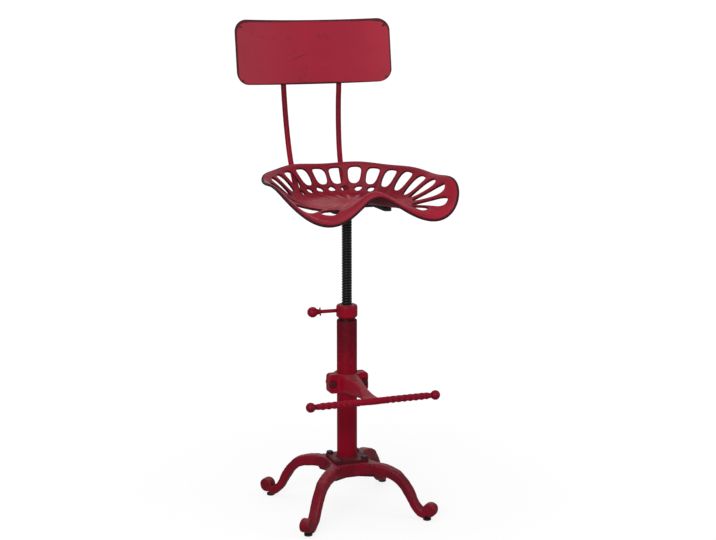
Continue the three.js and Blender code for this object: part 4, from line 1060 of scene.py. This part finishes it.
def panel_outline():
    outline = []
    for index, (sx, sy) in enumerate(rectangle(1, 1)):
        x, y = sx * (PANEL_HALF_WIDE - PANEL_CORNER), sy * (PANEL_HALF_TALL - PANEL_CORNER)
        for step in range(15):
            angle = (index + step / 14) * pi / 2
            outline.append((x + PANEL_CORNER * cos(angle), y + PANEL_CORNER * sin(angle)))
        if index % 2 == 0:
            outline += [(lerp(x, -x, t), y + PANEL_CORNER * sy) for t in np.linspace(0, 1, 42)[1:-1]]
        else:
            outline += [(x + PANEL_CORNER * sx, lerp(y, -y, t)) for t in np.linspace(0, 1, 12)[1:-1]]
    return np.array(outline)


def panel_shape():
    """Rings from the middle of the face, round the rolled lip, to the middle of the back."""
    outline = panel_outline()
    thick, wide, deep = PANEL_THICK, LIP_WIDE, PANEL_THICK + LIP_DEEP
    # inset from the edge, and depth behind the face
    lip = [
        (5, 0), (3.0, 0.02), (1.6, 0.15), (0.8, 0.5), (0.25, 1.1), (0, 2.0), (0, deep - 0.9),
        (0.25, deep - 0.3), (0.8, deep), (wide - 0.5, deep), (wide - 0.1, deep - 0.4), (wide, deep - 1),
        (wide, thick + 1.2), (wide + 0.4, thick + 0.4), (wide + 1.2, thick),
    ]
    shares = [0.08, 0.2, 0.35, 0.5, 0.65, 0.78, 0.88, 0.95]
    stations = [(outline * share, 0) for share in shares]
    for inset, depth in lip:
        stations.append((outline * (1 - inset / PANEL_HALF_WIDE, 1 - inset / PANEL_HALF_TALL), depth))
    stations += [(outline * share, thick) for share in reversed(shares)]
    rings = []
    for xy, depth in stations:
        back = depth - PANEL_BOW * (xy[:, 0] / PANEL_HALF_WIDE) ** 2
        along = PANEL_HALF_TALL + xy[:, 1]
        rings.append(columns([
            xy[:, 0], PANEL_BACK + along * sin(PANEL_LEAN) + back * cos(PANEL_LEAN),
            PANEL_LOW + along * cos(PANEL_LEAN) - back * sin(PANEL_LEAN),
        ]))
    return skin(rings)


def panel_marks(p):
    """Bare along the edge, and a spot at each corner."""
    x = np.abs(p[:, 0])
    along = np.abs((p[:, 2] - PANEL_LOW) / cos(PANEL_LEAN) - PANEL_HALF_TALL)
    corner_x, corner_y = PANEL_HALF_WIDE - PANEL_CORNER, PANEL_HALF_TALL - PANEL_CORNER
    reach = np.hypot(np.maximum(x - corner_x, 0), np.maximum(along - corner_y, 0))
    edge = ease(PANEL_CORNER - reach, 6.0, 1.4)
    straight = ease(x, 176, 178.3)
    spot = np.exp(-(((x - 166) / 4) ** 2 + ((along - 58) / 4) ** 2))
    return {"rub": np.maximum.reduce([edge, straight, spot])}


# Seat
def pan_marks(p, holes, rim_loop):
    """Bare edges, painted highlights on the crests and a painted reflection in the dish, and painted shade
    in the grooves, at the back and on the underside.
    """
    flat = p[:, :2] + (0, PAN_FORWARD)
    bearing, radius, share = polar(flat)
    inside = rim_at(bearing) - radius
    right, degrees = np.degrees(bearing), np.degrees(np.abs(bearing))
    on_pan = inside_loop(flat, rim_loop)

    gap, rim = distance_to(flat, holes), distance_to(flat, [rim_loop])
    slot_edge = np.where(gap < 0.05, 1.0, 0.75 * fade(gap, 0.4, 2.0))
    rim_edge = np.where(on_pan, 0.9 * fade(rim, 0.6, 3.0), 1.0)

    # painted highlights: the left tip, the rolled crest on the left flank and the pommel's crest
    left_tip = 1.5 * np.exp(-((right + 100) / 16) ** 2) * fade(inside, 6, 20)
    flank = ease(-right, 75, 100) * fade(-right, 140, 165)
    rolled = 0.85 * flank * np.exp(-((inside - 12.5) / 1.7) ** 2)
    step = 0.004
    climb = pan_height(bearing, share + step) - pan_height(bearing, share - step)
    slope = climb / (2 * step * rim_at(bearing))
    front = ease(degrees, 138, 150) * ease(share, 0.55, 0.62)
    pommel = 1.1 * front * np.exp(-((slope - 0.12) / 0.04) ** 2)
    # painted reflection in the dish, with lighter streaks along the ribs
    streaks = beside(RIB_BEARINGS, degrees, radius, 2.5) * ease(share, 0.12, 0.3)
    dish = (0.36 + 0.5 * streaks) * fade(share, 0.4, 0.66)

    # painted shade in the valleys between the ribs, on the back rim and on the underside
    valleys = [(low + high) / 2 for low, high in zip(RIB_BEARINGS, RIB_BEARINGS[1:])]
    groove = beside(valleys, degrees, radius, 2.2)
    groove *= ease(share, 0.16, 0.34) * fade(share, 0.56, 0.64)
    back = fade(degrees, 75, 125) * ease(share, 0.5, 0.66)
    underside = on_pan & (height_at(flat) - p[:, 2] > PAN_THICK / 2)
    return {
        "rub": np.maximum(slot_edge, rim_edge),
        "pale": np.maximum.reduce([left_tip, rolled, pommel, dish]),
        "shade": np.where(underside, 0.65, np.maximum(0.34 * back, 0.55 * groove)),
    }


def build_seat():
    # painted highlight along the screw thread's crests
    crests = lambda p: {"pale": ease(np.hypot(p[:, 0], p[:, 1]), 10.5, 10.95)}
    piece("lead_screw", thread_shape(), SCREW_STEEL, "seat", "lifting_screw", sharp=60, marks=crests)
    shape, holes, rim_loop = pan_shape()
    marks = lambda p: pan_marks(p, holes, rim_loop)
    piece("pierced_pan", shape, SEAT_PAINT, "seat", "seat_pan", sharp=65, marks=marks)
    for name, _, x, y in QUARTERS:
        out = SEAT_SCREW_OFFSET
        screw = shifted(seat_screw_shape(), x * out, y * out, BRACKET_LOW - SEAT_SCREW_END)
        piece(f"flat_screw_{name}", screw, FITTING_PAINT, "seat", f"seat_screw_{name}")
    for name, side in (("left", -1), ("right", 1)):
        piece(f"bent_rod_{name}", rod_shape(side), BAR_PAINT, "seat", f"back_rod_{name}", sharp=60)
    piece("curved_panel", panel_shape(), PANEL_PAINT, "seat", "back_panel", sharp=50, marks=panel_marks)


def dress_cad():
    """CAD nodes whose shape is right get finer materials and a small bevel."""
    paints = {
        "base_plate": STAND_PAINT, "column_flange": STAND_PAINT, "seat_bracket": BOLT_STEEL,
        "screw_stop_washer": BOLT_STEEL, "screw_stop_bolt": BOLT_STEEL,
    }
    width, least = 0.7 * MM, radians(35)
    bevel = {"width": width, "segments": 2, "limit_method": "ANGLE", "angle_limit": least}
    for name, paint in paints.items():
        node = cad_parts[name]
        for slot in node.material_slots:
            slot.material = paint
        add_modifier(node, "BEVEL", bevel)


# Stage, in metres
FLOOR_RADIUS, DOME_RADIUS, PAPER_GLOW, WORLD_LIGHT = 14, 16, 1.05, 0.30
FADE_FROM, FADE_TO, NEAR_GLOW = 0.35, 1.3, 0.8
PHOTO_WIDTH, FOCAL_PIXELS, SENSOR = 716, 1526.91, 36
CAMERA_PLACE, CAMERA_DOWN, CAMERA_TURN = (-1.07431, -2.99978, 1.16031), 11.197, -20.133

# name, place, target, size and watts
LIGHTS = [
    ("overhead", (-0.3, -0.2, 3.2), (0, 0, 0.5), 2.2, 36),
    ("key", (-1.9, -2.6, 1.6), (0, 0, 0.6), 1.4, 56),
    ("fill", (2.6, -1.8, 1.5), (0, 0, 0.5), 1.6, 19),
    ("backdrop", (1.1, 2.9, 1.3), (0, 0, 0.7), 3.0, 12),
]


def glowing(n):
    return n.new("Emission", "Emission", {"Strength": PAPER_GLOW})


def build_floor():
    """Pale paper that catches the stool's shadow and glows evenly further out."""
    n = Nodes("white_paper")
    n.fill(n.shader, {"Base Color": PAPER, "Roughness": 0.9, "Specular IOR Level": 0.1})
    far = n.new("VectorMath", "Value", {0: n.place}, operation="LENGTH")
    fade = n.spread(far, FADE_FROM, FADE_TO, low_end=NEAR_GLOW)
    mix = n.new("MixShader", "Shader", {"Fac": fade, 1: n.shader.outputs["BSDF"], 2: glowing(n)})
    n.fill(n.tree.nodes["Material Output"], {"Surface": mix})
    ring = [(FLOOR_RADIUS * cos(a), FLOOR_RADIUS * sin(a), 0) for a in circle(96)]
    mesh = bpy.data.meshes.new("floor")
    mesh.from_pydata(ring, [], [tuple(range(len(ring)))])
    mesh.materials.append(n.material)
    floor = linked("floor", mesh)
    floor.visible_diffuse = floor.visible_glossy = False
    return floor


def build_dome():
    n = Nodes("white_sky")
    n.fill(n.tree.nodes["Material Output"], {"Surface": glowing(n)})
    mesh = bpy.data.meshes.new("dome")
    bm = bmesh.new()
    bmesh.ops.create_uvsphere(bm, u_segments=48, v_segments=24, radius=DOME_RADIUS)
    bm.to_mesh(mesh)
    bm.free()
    mesh.materials.append(n.material)
    dome = linked("dome", mesh)
    dome.visible_diffuse = dome.visible_glossy = dome.visible_shadow = False
    dome.visible_transmission = dome.visible_volume_scatter = False
    return dome


def build_stage():
    world = bpy.data.worlds.new("world")
    bpy.context.scene.world = world
    world.use_nodes = True
    background = world.node_tree.nodes["Background"]
    background.inputs["Color"].default_value = (1, 1, 1, 1)
    background.inputs["Strength"].default_value = WORLD_LIGHT
    floor, dome = build_floor(), build_dome()


def build_lights():
    for name, place, target, size, power in LIGHTS:
        light = bpy.data.lights.new(name, "AREA")
        light.shape = "SQUARE"
        light.size = size
        light.energy = power
        lamp = linked(name, light)
        lamp.location = place
        lamp.rotation_euler = (Vector(target) - Vector(place)).to_track_quat("-Z", "Y").to_euler()
        lamp.visible_camera = False


def build_camera():
    data = bpy.data.cameras.new("camera")
    data.sensor_width = SENSOR
    data.lens = SENSOR * FOCAL_PIXELS / PHOTO_WIDTH
    camera = linked("camera", data)
    camera.location = Vector(CAMERA_PLACE) + AXIS
    camera.rotation_euler = (radians(90 - CAMERA_DOWN), 0, radians(CAMERA_TURN))
    bpy.context.scene.camera = camera


build_camera()
build_stand()
build_lock()
build_footrest()
build_seat()
dress_cad()
build_stage()
build_lights()
bpy.context.scene.view_settings.view_transform = "Standard"

bpy.context.view_layer.update()
